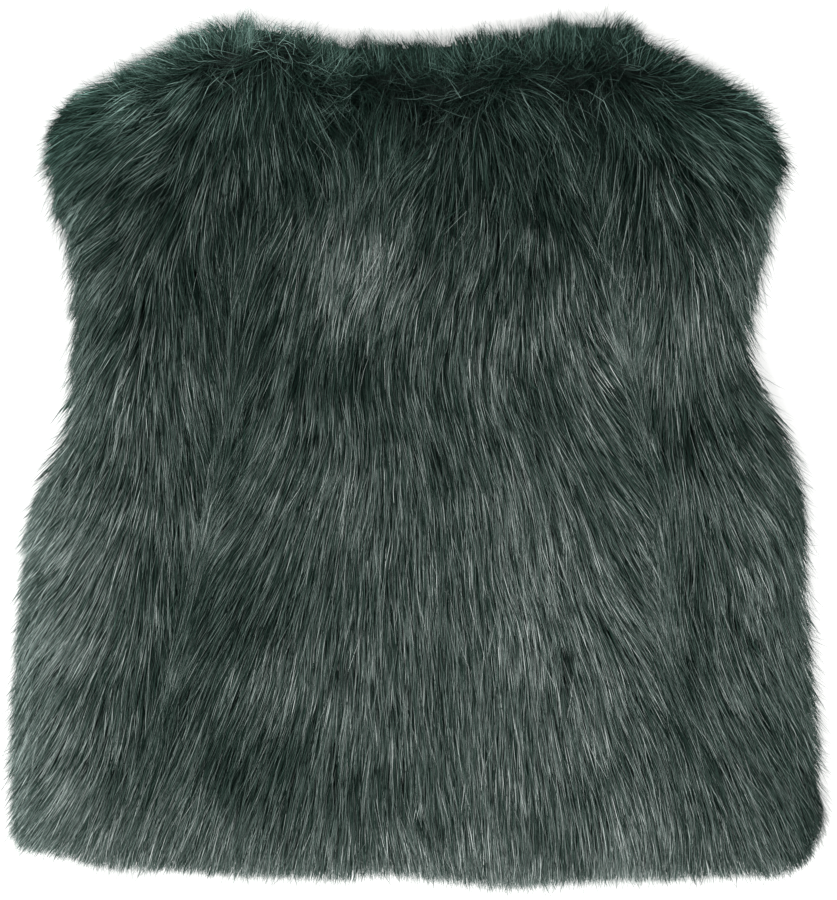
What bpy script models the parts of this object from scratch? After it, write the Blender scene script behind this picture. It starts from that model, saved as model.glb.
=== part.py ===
"""A long-pile faux fur vest, laid flat on its front with the back up.

Frame: +Z up off the surface, +Y from the hem to the neck, +X to the wearer's right. The origin is
the middle of the underside. Sizes are in millimetres here and become metres in the meshes.

The maker cuts five panels of fur fabric: a centre back and two side backs, which meet at shaped
seams from the shoulders to the hem, and two fronts, which meet at the open centre front. Each
panel is one wall: a knitted backing on the inside and the pile on the outside, as far as the fur
reaches. The pile stands full on the back panels and is pressed flat under the fronts.
"""

import math
import random
from typing import NamedTuple

import bmesh
import bpy
import numpy as np

MM = 0.001

# The layers, from the surface up. The fronts lie on their pressed pile and the back lies on them.
FRONT_WALL = 14.0
SEAM_GAP = 0.3
BACK_INSIDE = FRONT_WALL + SEAM_GAP
BACK_PILE = 26.0
BACK_ROUNDING = 34.0
BACK_LIP = 3.0
FRONT_ROUNDING = 22.0
FRONT_LIP = 3.0
FRONT_OPENING = 3.0

# How far the back's edge lifts off the fronts at the hem, the armholes and the neck, and where.
MOUTH = 3.0
MOUTH_RUN = 14.0
HEM_MOUTH_HALF = 232.0
HEM_MOUTH_TOP = 60.0
ARMHOLE_FOOT = 268.0
ARMHOLE_HEAD = 442.0
ARMHOLE_LEAST_HALF = 170.0
NECK_MOUTH_HALF = 96.0

# The valley that the pile falls into along each back seam, and the swell between the seams.
SEAM_VALLEY = 10.0
SEAM_VALLEY_WIDTH = 20.0
CENTRE_SWELL = 5.0
SIDE_SWELL = 3.0

# The tufts along the outline, and the locks that the pile lies in.
TUFT_PITCH = 24.0
TUFT_REACH = 3.6
TUFT_DRIFT = 0.45
LOCK_LENGTH = 78.0
LOCK_WIDTH = 31.0
LOCK_HEIGHT = 5.5
LOCK_ROWS = 9
LOCKS_IN_A_ROW = 17
LOCK_SEED = 11

# The mesh: points near an edge lie closer together than those between.
BACK_STEPS = (2.0, 4.5, 6.5)
BACK_PITCH = 8.0
BACK_LENGTH_PITCH = 12.0
FRONT_STEPS = (2.0, 4.5, 6.5, 9.0)
FRONT_PITCH = 24.0
LINE_STEP = 1.5


class SideRow(NamedTuple):
    """How far the fur reaches from the centre line at one height above the hem's lowest point."""

    height: float
    left: float
    right: float


SIDES = (
    SideRow(height=31, left=254, right=252),
    SideRow(height=80, left=255, right=252),
    SideRow(height=140, left=252, right=248),
    SideRow(height=200, left=247, right=245),
    SideRow(height=252, left=238, right=242),
    SideRow(height=285, left=224, right=231),
    SideRow(height=330, left=217, right=215),
    SideRow(height=372, left=217, right=214),
    SideRow(height=402, left=221, right=223),
    SideRow(height=430, left=229, right=229),
    SideRow(height=455, left=234, right=231),
    SideRow(height=476, left=229, right=226),
)


class EdgePoint(NamedTuple):
    """One point of the hem line or of the shoulder and neck line."""

    across: float
    height: float


HEM = (
    EdgePoint(across=-254, height=31),
    EdgePoint(across=-244, height=24),
    EdgePoint(across=-214, height=18),
    EdgePoint(across=-196, height=13),
    EdgePoint(across=-136, height=9),
    EdgePoint(across=-57, height=4),
    EdgePoint(across=-11, height=6),
    EdgePoint(across=36, height=2),
    EdgePoint(across=67, height=0),
    EdgePoint(across=114, height=4),
    EdgePoint(across=177, height=6),
    EdgePoint(across=224, height=7),
    EdgePoint(across=242, height=14),
    EdgePoint(across=252, height=31),
)

SHOULDERS = (
    EdgePoint(across=-229, height=476),
    EdgePoint(across=-213, height=496),
    EdgePoint(across=-182, height=514),
    EdgePoint(across=-151, height=530),
    EdgePoint(across=-128, height=540),
    EdgePoint(across=-98, height=542),
    EdgePoint(across=-57, height=531),
    EdgePoint(across=-35, height=528),
    EdgePoint(across=10, height=530),
    EdgePoint(across=52, height=535),
    EdgePoint(across=90, height=542),
    EdgePoint(across=128, height=540),
    EdgePoint(across=158, height=525),
    EdgePoint(across=192, height=508),
    EdgePoint(across=214, height=493),
    EdgePoint(across=226, height=476),
)

# The neck of the fronts, from the shoulder's inner end down to the top of the centre front.
FRONT_NECK = (
    EdgePoint(across=102, height=530),
    EdgePoint(across=84, height=494),
    EdgePoint(across=48, height=468),
    EdgePoint(across=1.5, height=456),
)


class SeamRow(NamedTuple):
    """Where the two back seams lie at one height, as distances from the centre line."""

    height: float
    left: float
    right: float


SEAMS = (
    SeamRow(height=541, left=106, right=113),
    SeamRow(height=412, left=110, right=118),
    SeamRow(height=315, left=117, right=137),
    SeamRow(height=225, left=131, right=152),
    SeamRow(height=135, left=151, right=154),
    SeamRow(height=10, left=166, right=163),
)


class NapRow(NamedTuple):
    """How far the pile leans from straight down the back, in degrees towards +X, at one height.

    The stations run across the garment: its left edge, the middle of the left side panel, the
    two flanks of the left seam, the centre, and the same again on the right.
    """

    height: float
    edge_l: float
    side_l: float
    seam_l_out: float
    seam_l_in: float
    centre: float
    seam_r_in: float
    seam_r_out: float
    side_r: float
    edge_r: float


NAP = (
    NapRow(0, -35, -20, -12, -18, 5, 6, 12, 18, 28),
    NapRow(120, -36, -14, 3, -26, 4, 28, 20, 22, 30),
    NapRow(180, -40, -14, 6, -34, 2, 27, -3, 10, 27),
    NapRow(240, -40, -17, 12, -35, 2, 34, -3, 20, 36),
    NapRow(290, -38, -14, 10, -28, 12, 36, 4, 24, 38),
    NapRow(350, -34, -12, 9, -20, -4, 24, -8, 2, 24),
    NapRow(405, -42, -28, 10, -12, -14, 20, -6, 12, 32),
    NapRow(450, -55, -40, -20, -3, -18, 14, -8, 34, 42),
    NapRow(495, -64, -54, -32, -10, -30, 36, 28, 55, 56),
    NapRow(545, -74, -66, -45, -20, 0, 30, 45, 68, 70),
)
SEAM_FLANK = 16.0

LOWEST = min(point.height for point in HEM)
HIGHEST = max(point.height for point in SHOULDERS)

FUR_GREEN = (0.052, 0.078, 0.070, 1.0)
FUR_ROUGHNESS = 0.75


def smooth_line(points, step=LINE_STEP):
    """Points about a step apart on a Catmull-Rom curve through the given points."""
    knots = np.array(points, float)
    before = 2 * knots[0] - knots[1]
    after = 2 * knots[-1] - knots[-2]
    knots = np.vstack([before, knots, after])
    line = []
    for a, b, c, d in zip(knots, knots[1:], knots[2:], knots[3:]):
        count = max(2, math.ceil(np.linalg.norm(c - b) / step))
        t = np.arange(count)[:, None] / count
        slope, bend = c - a, 2 * a - 5 * b + 4 * c - d
        line.append(b + 0.5 * (slope * t + bend * t**2 + (3 * b - a - 3 * c + d) * t**3))
    return np.vstack([*line, knots[-2]])


def lengths_along(line):
    """The distance along a line at each of its points."""
    return np.concatenate([[0.0], np.cumsum(np.linalg.norm(np.diff(line, axis=0), axis=1))])


def along(line, shares):
    """The points at these shares of a line's length."""
    reach = lengths_along(line)
    at = np.asarray(shares) * reach[-1]
    return np.column_stack([np.interp(at, reach, line[:, k]) for k in range(2)])


def moved_out(line, amount):
    """A line moved to its right-hand side by an amount, which may differ from point to point."""
    run = np.gradient(line, axis=0)
    run /= np.linalg.norm(run, axis=1)[:, None]
    right = np.column_stack([run[:, 1], -run[:, 0]])
    return line + right * np.broadcast_to(amount, len(line))[:, None]


def tufted(line, start):
    """The fur's edge: soft tufts of uneven reach along a line, which has the outside on its right."""
    reach = (start + lengths_along(line)) / TUFT_PITCH
    reach += TUFT_DRIFT * np.sin(reach * 1.7) + TUFT_DRIFT * np.sin(reach * 0.61)
    teeth = np.abs(np.sin(math.pi * reach)) ** 0.8 - 0.6
    slow = 0.7 + 0.3 * np.sin(reach * 0.87)
    ends = np.clip(np.minimum(np.arange(len(line)), np.arange(len(line))[::-1]) / 6, 0, 1)
    return moved_out(line, TUFT_REACH * teeth * slow * ends)


def outline():
    """The four lines round the garment, each with the outside on its right: hem, right, top, left."""
    hem = smooth_line(HEM)
    right = smooth_line([(row.right, row.height) for row in SIDES])
    top = smooth_line(SHOULDERS)[::-1]
    left = smooth_line([(-row.left, row.height) for row in SIDES])[::-1]
    lines, start = [], 0.0
    for line in (hem, right, top, left):
        lines.append(tufted(line, start))
        start += lengths_along(line)[-1]
    return lines


HEM_LINE, RIGHT_LINE, TOP_LINE, LEFT_LINE = outline()
WHOLE_OUTLINE = np.vstack([HEM_LINE, RIGHT_LINE, TOP_LINE, LEFT_LINE])
MIDDLE = (WHOLE_OUTLINE.min(axis=0) + WHOLE_OUTLINE.max(axis=0)) / 2
LEFT_SEAM = smooth_line([(-row.left, row.height) for row in SEAMS])
RIGHT_SEAM = smooth_line([(row.right, row.height) for row in SEAMS])


def distance_to(line, points):
    """The least distance from each point to a dense line."""
    apart = points[:, None, :] - line[None, :, :]
    return np.sqrt((apart**2).sum(axis=2).min(axis=1))


def rounded(distance, radius):
    """A quarter round: 0 at an edge and 1 from the radius inwards."""
    share = np.clip(distance / radius, 0, 1)
    return np.sqrt(1 - (1 - share) ** 2)


def row_value(rows, name, heights):
    """A table's column, read at these heights."""
    ordered = sorted(rows, key=lambda row: row.height)
    return np.interp(heights, [row.height for row in ordered], [getattr(row, name) for row in ordered])


def lean_at(points):
    """The nap's lean at each point, in degrees, read between the stations of the nap table."""
    across, height = points[:, 0], points[:, 1]
    edge_l, edge_r = -row_value(SIDES, "left", height), row_value(SIDES, "right", height)
    seam_l, seam_r = -row_value(SEAMS, "left", height), row_value(SEAMS, "right", height)
    stations = np.column_stack(
        [
            edge_l,
            (edge_l + seam_l) / 2,
            seam_l - SEAM_FLANK / 2,
            seam_l + SEAM_FLANK,
            (seam_l + seam_r) / 2,
            seam_r - SEAM_FLANK,
            seam_r + SEAM_FLANK / 2,
            (edge_r + seam_r) / 2,
            edge_r,
        ]
    )
    leans = np.column_stack([row_value(NAP, name, height) for name in NapRow._fields[1:]])
    return np.array([np.interp(x, places, lean) for x, places, lean in zip(across, stations, leans)])


class Lock(NamedTuple):
    """One lock of the pile: its root end, which way it lies, and its own size."""

    root: tuple
    lean: float
    size: float


def locks():
    """The locks over the back, in staggered rows, each a little off its place and size."""
    rng = random.Random(LOCK_SEED)
    found = []
    for row in range(LOCK_ROWS):
        height = LOWEST + (HIGHEST - LOWEST) * (row + 0.85) / LOCK_ROWS
        left, right = -row_value(SIDES, "left", height), row_value(SIDES, "right", height)
        for k in range(LOCKS_IN_A_ROW):
            share = (k + 0.25 + 0.5 * (row % 2)) / LOCKS_IN_A_ROW
            x = left + (right - left) * share + rng.uniform(-6, 6)
            y = height + rng.uniform(-14, 14)
            lean = float(lean_at(np.array([[x, y]]))[0])
            found.append(Lock(root=(x, y), lean=lean, size=rng.uniform(0.75, 1.15)))
    return found


def lock_relief(points):
    """How far the locks rise at each point: each swells towards its tip and falls away past it."""
    relief = np.zeros(len(points))
    for lock in locks():
        lean = math.radians(lock.lean)
        run = np.array([math.sin(lean), -math.cos(lean)])
        side = np.array([run[1], -run[0]])
        apart = points - np.array(lock.root)
        down = apart @ run / (LOCK_LENGTH * lock.size)
        across = apart @ side / (LOCK_WIDTH * lock.size / 2)
        width = np.clip(1.15 - 0.75 * down, 0.2, 1)
        swell = np.clip(down, 0, 1) ** 0.7 * np.clip((1 - down) / 0.22, 0, 1)
        crown = np.clip(1 - (across / width) ** 2, 0, 1)
        relief = np.maximum(relief, LOCK_HEIGHT * lock.size * swell * crown)
    return relief


def back_height(points):
    """The top of the pile over the back, above the surface that the vest lies on."""
    from_edge = distance_to(WHOLE_OUTLINE, points)
    from_left, from_right = distance_to(LEFT_SEAM, points), distance_to(RIGHT_SEAM, points)
    from_seam = np.minimum(from_left, from_right)
    full = rounded(from_edge, BACK_ROUNDING)
    valley = np.exp(-((from_seam / SEAM_VALLEY_WIDTH) ** 2)) * np.clip(from_edge / 60, 0.35, 1)
    middle = np.clip(from_seam / 120, 0, 1)
    between = (points[:, 0] > -row_value(SEAMS, "left", points[:, 1])) & (
        points[:, 0] < row_value(SEAMS, "right", points[:, 1])
    )
    swell = np.where(between, CENTRE_SWELL, SIDE_SWELL) * np.sin(middle * math.pi / 2)
    pile = BACK_PILE - SEAM_VALLEY * valley + swell + lock_relief(points)
    return BACK_INSIDE + BACK_LIP + (pile - BACK_LIP) * full


def stations(length, pitch, steps):
    """Shares of a length where mesh lines run: close together at both ends and even between."""
    ends = np.cumsum(steps)
    count = max(2, round((length - 2 * ends[-1]) / pitch))
    between = np.linspace(ends[-1], length - ends[-1], count + 1)
    return np.concatenate([[0.0], ends[:-1], between, length - ends[:-1][::-1], [length]]) / length


def patch(bottom, right, top, left, across_pitch, up_pitch, steps):
    """A grid of points that fills the space between four lines, as a Coons patch.

    The bottom and top run in +X and the sides in +Y. Returns points by row, then column.
    """
    width = (lengths_along(bottom)[-1] + lengths_along(top)[-1]) / 2
    height = (lengths_along(left)[-1] + lengths_along(right)[-1]) / 2
    s, t = stations(width, across_pitch, steps), stations(height, up_pitch, steps)
    low, high, near, far = along(bottom, s), along(top, s), along(left, t), along(right, t)
    s, t = s[None, :, None], t[:, None, None]
    ruled = (1 - t) * low[None] + t * high[None] + (1 - s) * near[:, None] + s * far[:, None]
    corners = (1 - s) * (1 - t) * low[0] + s * (1 - t) * low[-1] + (1 - s) * t * high[0] + s * t * high[-1]
    return ruled - corners


def cut_at(line, across):
    """The share of a line's length where it first passes this distance across."""
    reach = lengths_along(line)
    order = np.argsort(line[:, 0])
    return float(np.interp(across, line[order, 0], reach[order])) / reach[-1]


def piece_of(line, start, end, count=160):
    """The stretch of a line between two shares of its length."""
    return along(line, np.linspace(start, end, count))


def ring(rows, columns, inset):
    """The grid places round a rectangle that lies this many steps in from the grid's edge."""
    low_row, high_row, low, high = inset, rows - 1 - inset, inset, columns - 1 - inset
    found = [(low_row, c) for c in range(low, high)]
    found += [(r, high) for r in range(low_row, high_row)]
    found += [(high_row, c) for c in range(high, low, -1)]
    found += [(r, low) for r in range(high_row, low_row, -1)]
    return found


def solid(name, points, faces):
    """A closed mesh object with its faces pointing out, in metres round the origin."""
    placed = [((x - MIDDLE[0]) * MM, (y - MIDDLE[1]) * MM, z * MM) for x, y, z in points]
    mesh = bpy.data.meshes.new(name)
    mesh.from_pydata(placed, [], faces)
    shape = bmesh.new()
    shape.from_mesh(mesh)
    bmesh.ops.recalc_face_normals(shape, faces=shape.faces)
    shape.to_mesh(mesh)
    shape.free()
    mesh.shade_smooth()
    mesh.set_sharp_from_angle(angle=math.radians(50))
    made = bpy.data.objects.new(name, mesh)
    bpy.context.scene.collection.objects.link(made)
    made.data.materials.append(fur_fabric(name))
    return made


def fur_fabric(name):
    """The fur's mean colour, with the soft finish of a pile."""
    material = bpy.data.materials.new("fur_" + name)
    material.use_nodes = True
    shader = material.node_tree.nodes["Principled BSDF"]
    shader.inputs["Base Color"].default_value = FUR_GREEN
    shader.inputs["Roughness"].default_value = FUR_ROUGHNESS
    shader.inputs["Metallic"].default_value = 0.0
    return material


def bands(first, second):
    """The faces between two rings of point numbers that run side by side."""
    after_first, after_second = first[1:] + first[:1], second[1:] + second[:1]
    return [list(quad) for quad in zip(first, after_first, after_second, second)]


def rim(edge, inside, rows, columns, inset):
    """The faces from a panel's edge ring to its inset ring, fanned at the corners."""
    place_of = dict(zip(ring(rows, columns, inset), inside))

    def nearest(place):
        row = min(max(place[0], inset), rows - 1 - inset)
        column = min(max(place[1], inset), columns - 1 - inset)
        return place_of[(row, column)]

    places = ring(rows, columns, 0)
    faces = []
    for k, place in enumerate(places):
        follows = (k + 1) % len(places)
        face = [edge[k], edge[follows], nearest(places[follows]), nearest(place)]
        faces.append(list(dict.fromkeys(face)))
    return faces


def panel(name, grid, surface, inside, lift=None):
    """One panel: the pile's surface over the grid, a flat inside, and the edge wall between them.

    surface gives the pile's height at points. lift gives how far the inside's edge rises off the
    flat at each point of the edge, where the garment opens.
    """
    rows, columns = grid.shape[:2]
    flat = grid.reshape(-1, 2)
    points = [(x, y, z) for (x, y), z in zip(flat, surface(flat))]
    faces = [
        [r * columns + c, r * columns + c + 1, (r + 1) * columns + c + 1, (r + 1) * columns + c]
        for r in range(rows - 1)
        for c in range(columns - 1)
    ]
    outer = [r * columns + c for r, c in ring(rows, columns, 0)]
    at_edge = flat[outer]
    edge = list(range(len(points), len(points) + len(outer)))
    heights = inside + (lift(at_edge) if lift else np.zeros(len(outer)))
    points += [(x, y, z) for (x, y), z in zip(at_edge, heights)]
    faces += bands(outer, edge)
    if lift:
        inner = ring(rows, columns, len(BACK_STEPS))
        flat_ring = list(range(len(points), len(points) + len(inner)))
        points += [(*grid[r, c], inside) for r, c in inner]
        faces += rim(edge, flat_ring, rows, columns, len(BACK_STEPS))
        edge = flat_ring
    faces.append(edge)
    return solid(name, points, faces)


def ramp(value, start, run=MOUTH_RUN):
    """0 up to the start and 1 past the run beyond it, smooth between."""
    share = np.clip((value - start) / run, 0, 1)
    return share * share * (3 - 2 * share)


def mouth_lift(points):
    """How far the back lifts off the fronts: at the openings, and not at the closed seams."""
    from_centre, height = np.abs(points[:, 0]), points[:, 1]
    low, high = height < ARMHOLE_FOOT - 2 * MOUTH_RUN, height > ARMHOLE_HEAD + MOUTH_RUN
    hem = low * ramp(-from_centre, -HEM_MOUTH_HALF) * ramp(-height, -HEM_MOUTH_TOP)
    neck = high * ramp(-from_centre, -NECK_MOUTH_HALF)
    beside = from_centre > ARMHOLE_LEAST_HALF
    armhole = beside * ramp(height, ARMHOLE_FOOT) * ramp(-height, -ARMHOLE_HEAD)
    return MOUTH * np.maximum(np.maximum(hem, neck), armhole)


def back_panel(name, bottom, right, top, left):
    """A back panel, with its pile up."""
    grid = patch(bottom, right, top, left, BACK_PITCH, BACK_LENGTH_PITCH, BACK_STEPS)
    return panel(name, grid, back_height, BACK_INSIDE, lift=mouth_lift)


def front_lines(side):
    """The four lines round a front: hem, right, top and left. side is -1 or 1."""
    centre = side * FRONT_OPENING / 2
    hem_cut = cut_at(HEM_LINE, centre)
    shoulder = TOP_LINE[::-1]
    shoulder_cut = cut_at(shoulder, side * FRONT_NECK[0].across)
    neck = smooth_line([(side * point.across, point.height) for point in FRONT_NECK])
    if side < 0:
        hem = piece_of(HEM_LINE, 0, hem_cut)
        top = np.vstack([piece_of(shoulder, 0, shoulder_cut), neck[1:]])
        opening = np.array([hem[-1], top[-1]])
        return hem, opening, top, LEFT_LINE[::-1]
    hem = piece_of(HEM_LINE, hem_cut, 1)
    top = np.vstack([neck[::-1][:-1], piece_of(shoulder, shoulder_cut, 1)])
    opening = np.array([hem[0], top[0]])
    return hem, RIGHT_LINE, top, opening


def front_panel(name, side):
    """A front, with its pile down: flat where it rests, and rounded up to its edges."""
    lines = front_lines(side)
    grid = patch(*lines, FRONT_PITCH, FRONT_PITCH, FRONT_STEPS)
    dense = np.vstack([along(line, np.linspace(0, 1, 300)) for line in lines])

    def underside(points):
        return (FRONT_WALL - FRONT_LIP) * (1 - rounded(distance_to(dense, points), FRONT_ROUNDING))

    return panel(name, grid, underside, FRONT_WALL)


def build():
    """Clears the scene and builds the five panels."""
    for old in list(bpy.data.objects):
        bpy.data.objects.remove(old)
    top = TOP_LINE[::-1]
    half = SEAM_GAP / 2
    left_foot, right_foot = cut_at(HEM_LINE, LEFT_SEAM[-1, 0]), cut_at(HEM_LINE, RIGHT_SEAM[-1, 0])
    left_head, right_head = cut_at(top, LEFT_SEAM[0, 0]), cut_at(top, RIGHT_SEAM[0, 0])

    def seam(line, foot, head, move):
        raised = line[::-1].copy() + np.array([move, 0.0])
        raised[0] = along(HEM_LINE, [foot])[0] + np.array([move, 0.0])
        raised[-1] = along(top, [head])[0] + np.array([move, 0.0])
        return raised

    def stretch(line, start, end, first_move, last_move):
        found = piece_of(line, start, end)
        share = np.linspace(0, 1, len(found))
        found[:, 0] += first_move * (1 - share) + last_move * share
        return found

    back_panel(
        "back_centre",
        bottom=stretch(HEM_LINE, left_foot, right_foot, half, -half),
        right=seam(RIGHT_SEAM, right_foot, right_head, -half),
        top=stretch(top, left_head, right_head, half, -half),
        left=seam(LEFT_SEAM, left_foot, left_head, half),
    )
    back_panel(
        "back_side_left",
        bottom=stretch(HEM_LINE, 0, left_foot, 0, -half),
        right=seam(LEFT_SEAM, left_foot, left_head, -half),
        top=stretch(top, 0, left_head, 0, -half),
        left=LEFT_LINE[::-1],
    )
    back_panel(
        "back_side_right",
        bottom=stretch(HEM_LINE, right_foot, 1, half, 0),
        right=RIGHT_LINE,
        top=stretch(top, right_head, 1, half, 0),
        left=seam(RIGHT_SEAM, right_foot, right_head, half),
    )
    front_panel("front_left", side=-1)
    front_panel("front_right", side=1)


build()
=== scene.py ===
"""Dresses the laid fur vest: knitted backings, the pile that stands in them, and a plain studio.

Each panel of the garment is a thin knitted backing with its pile on the outside. The pile is built
hair by hair: an undercoat that fills it, guard hair that carries its colour, and a few long awn
hairs. The hairs follow the nap, which falls into a valley along both back seams and turns out in
crowns at the shoulders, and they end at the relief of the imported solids.

Tables and sizes are in millimetres across the garment and above its hem, and the meshes in metres.
"""

import logging
import math
from dataclasses import dataclass, field
from enum import Enum
from typing import Any, Callable, NamedTuple

import bpy
import numpy as np
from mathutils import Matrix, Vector
from mathutils.bvhtree import BVHTree


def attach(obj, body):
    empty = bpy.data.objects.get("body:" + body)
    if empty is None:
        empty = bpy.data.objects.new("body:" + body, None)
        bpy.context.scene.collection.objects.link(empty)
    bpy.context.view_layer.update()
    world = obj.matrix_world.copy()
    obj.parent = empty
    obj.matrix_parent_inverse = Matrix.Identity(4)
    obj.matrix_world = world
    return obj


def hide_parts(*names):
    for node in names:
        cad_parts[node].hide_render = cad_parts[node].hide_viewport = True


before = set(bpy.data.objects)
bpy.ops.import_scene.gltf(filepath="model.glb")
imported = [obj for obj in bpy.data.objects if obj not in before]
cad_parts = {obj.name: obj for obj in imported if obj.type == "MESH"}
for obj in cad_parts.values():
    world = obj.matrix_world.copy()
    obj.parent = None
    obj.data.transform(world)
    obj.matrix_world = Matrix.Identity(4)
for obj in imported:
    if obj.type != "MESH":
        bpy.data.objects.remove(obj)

LOG = logging.getLogger("vest")
MM = 0.001

# Where the frame's origin lies in the tables: across from the centre line, and above the hem.
TABLE_ORIGIN = (-1.0, 271.3)

Array = np.ndarray
# Gives an edge's place across at heights, or its height at places across.
Edge = Callable[[Array], Array]
# Tells which points lie on a panel.
Inside = Callable[[Array], Array]


class Patches(NamedTuple):
    """Soft random values over the garment: how wide their patches are, and which draw they are."""

    size: float
    draw: int


class SideRow(NamedTuple):
    """How far the fur reaches from the centre line at one height above the hem."""

    height: float
    left: float
    right: float


SIDES = (
    SideRow(31, 254, 252),
    SideRow(80, 255, 252),
    SideRow(140, 252, 248),
    SideRow(200, 247, 245),
    SideRow(252, 241, 243),
    SideRow(285, 227, 233),
    SideRow(310, 219, 224),
    SideRow(332, 217, 214),
    SideRow(372, 216, 212),
    SideRow(402, 220, 221),
    SideRow(430, 229, 225),
    SideRow(455, 234, 233),
    SideRow(476, 230, 226),
)


class EdgePoint(NamedTuple):
    """One point of the hem, the shoulder and neck line, or the neck of the fronts."""

    across: float
    height: float


HEM = (
    EdgePoint(-254, 31),
    EdgePoint(-244, 23),
    EdgePoint(-214, 16),
    EdgePoint(-196, 11),
    EdgePoint(-136, 8),
    EdgePoint(-57, 3),
    EdgePoint(-11, 5),
    EdgePoint(36, 0),
    EdgePoint(67, -1),
    EdgePoint(114, 2),
    EdgePoint(177, 4),
    EdgePoint(224, 6),
    EdgePoint(242, 14),
    EdgePoint(252, 31),
)

SHOULDERS = (
    EdgePoint(-230, 476),
    EdgePoint(-213, 497),
    EdgePoint(-182, 514),
    EdgePoint(-151, 530),
    EdgePoint(-128, 540),
    EdgePoint(-98, 542),
    EdgePoint(-57, 533),
    EdgePoint(-35, 530),
    EdgePoint(10, 531),
    EdgePoint(52, 535),
    EdgePoint(90, 542),
    EdgePoint(128, 542),
    EdgePoint(158, 524),
    EdgePoint(192, 508),
    EdgePoint(214, 493),
    EdgePoint(226, 476),
)

FRONT_NECK = (
    EdgePoint(0, 456),
    EdgePoint(48, 468),
    EdgePoint(84, 494),
    EdgePoint(102, 530),
    EdgePoint(106, 560),
)


class SeamRow(NamedTuple):
    """Where the two back seams lie at one height, as distances from the centre line."""

    height: float
    left: float
    right: float


SEAMS = (
    SeamRow(10, 166, 163),
    SeamRow(135, 151, 154),
    SeamRow(225, 131, 152),
    SeamRow(315, 117, 137),
    SeamRow(412, 110, 118),
    SeamRow(541, 106, 113),
)


class NapRow(NamedTuple):
    """How far the pile leans from straight down the back, in degrees towards +X, at one height.

    The stations run across the back: the left edge, a hand's width in, the side's ridge, the two
    flanks of the left seam, halfway to the centre, the centre, and the same again on the right.
    """

    height: float
    edge_l: float
    rim_l: float
    ridge_l: float
    seam_l_out: float
    seam_l_in: float
    half_l: float
    centre: float
    half_r: float
    seam_r_in: float
    seam_r_out: float
    side_r: float
    edge_r: float


NAP = (
    NapRow(0, -32, -34, -18, -16, -16, -12, 8, 3, 2, 3, 20, 26),
    NapRow(39, -30, -36, -18, -16, -18, -13, 12, 4, 6, 5, 24, 28),
    NapRow(76, -28, -28, -18, -18, -26, -10, 3, 10, 14, 15, 23, 35),
    NapRow(114, -22, -28, -8, -6, -22, -15, 5, 0, 25, 25, 25, 27),
    NapRow(151, -24, -37, -24, -4, -26, -7, 5, 4, 31, 9, 18, 28),
    NapRow(189, -40, -33, -15, 5, -34, -12, 2, 9, 28, -8, 12, 24),
    NapRow(226, -38, -34, -14, 9, -34, -15, 2, 2, 31, -6, 19, 33),
    NapRow(264, -43, -30, -6, 9, -30, -14, 12, 17, 40, 8, 28, 40),
    NapRow(301, -34, -16, 10, 8, -20, 3, 17, 15, 36, -2, 24, 48),
    NapRow(339, -27, -28, 0, 9, -20, -7, -4, -5, 27, -11, 2, 36),
    NapRow(376, -25, -27, 10, 6, -14, -14, -20, -8, 20, -15, -4, 18),
    NapRow(414, -38, -46, -24, 6, -13, -5, -9, -5, 22, -12, 27, 30),
    NapRow(451, -57, -50, -40, -5, 0, 18, -27, 8, 12, -18, 43, 39),
    NapRow(489, -58, -65, -50, -15, -3, 26, -30, 30, 26, 20, 48, 42),
    NapRow(545, -70, -70, -60, -30, 20, 42, -34, 42, 34, 26, 52, 48),
)
# How far the nap's stations lie from the seams and the edges, and from the centre as a share.
SEAM_OUTER_FLANK = 9.0
SEAM_INNER_FLANK = 13.0
RIM_INSET = 30.0
HALF_WAY = 0.45


class PartingRow(NamedTuple):
    """Where the pile parts under the top edge at one place across, and how it lies above there.

    It parts along the shoulder seams and the neck. Below, it falls down the back. Above, it lies up
    over the edge, leaning from straight up towards +X by some degrees.
    """

    across: float
    depth: float
    lean: float


PARTINGS = (
    PartingRow(-232, 9, -88),
    PartingRow(-200, 14, -80),
    PartingRow(-165, 18, -68),
    PartingRow(-135, 21, -46),
    PartingRow(-112, 23, -12),
    PartingRow(-86, 24, 16),
    PartingRow(-60, 24, 26),
    PartingRow(-40, 23, 6),
    PartingRow(-20, 23, -14),
    PartingRow(5, 24, -16),
    PartingRow(35, 26, -12),
    PartingRow(65, 29, -20),
    PartingRow(95, 31, -14),
    PartingRow(120, 32, 4),
    PartingRow(142, 29, 28),
    PartingRow(168, 24, 50),
    PartingRow(198, 17, 64),
    PartingRow(228, 10, 84),
)
# The parting's width, how far it wanders, and how far whole locks lie across it.
PARTING_WIDTH = 11.0
PARTING_WANDER = 5.0
PARTING_PATCHES = Patches(19, 71)
PARTING_LOCKS = 8.5
# Hairs that stand up in it turn and curl by some of these degrees, and are shorter by this share.
PARTING_TURN = 90.0
PARTING_CURL = 60.0
PARTING_SHORT = 0.12
# Hairs that are turned over the edge are shorter too, and their locks lean further apart.
TURNED_SHORT = 0.28
TURNED_TUFTS = 1.6
# No hair is drawn back further than this at the garment's edge, and broad ones to less.
SHORTEST = 10.0
# The fur's edge goes in and out by these, over some 12 mm and some 6 mm.
EDGE_WAVE = 2.4
EDGE_WAVES = Patches(12, 41)
EDGE_RIPPLE = 1.3
EDGE_RIPPLES = Patches(6, 43)
WAVE_LIMITS = (-1.0, 1.5)
# Where a notch is this deep, hairs are drawn right back, to this share of the least length.
NOTCH = 11.0
NOTCH_SHORT = 0.25


class Tuft(NamedTuple):
    """A place at the fur's edge where it reaches past its outline, or falls short of it."""

    across: float
    height: float
    wide: float
    reach: float


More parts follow.
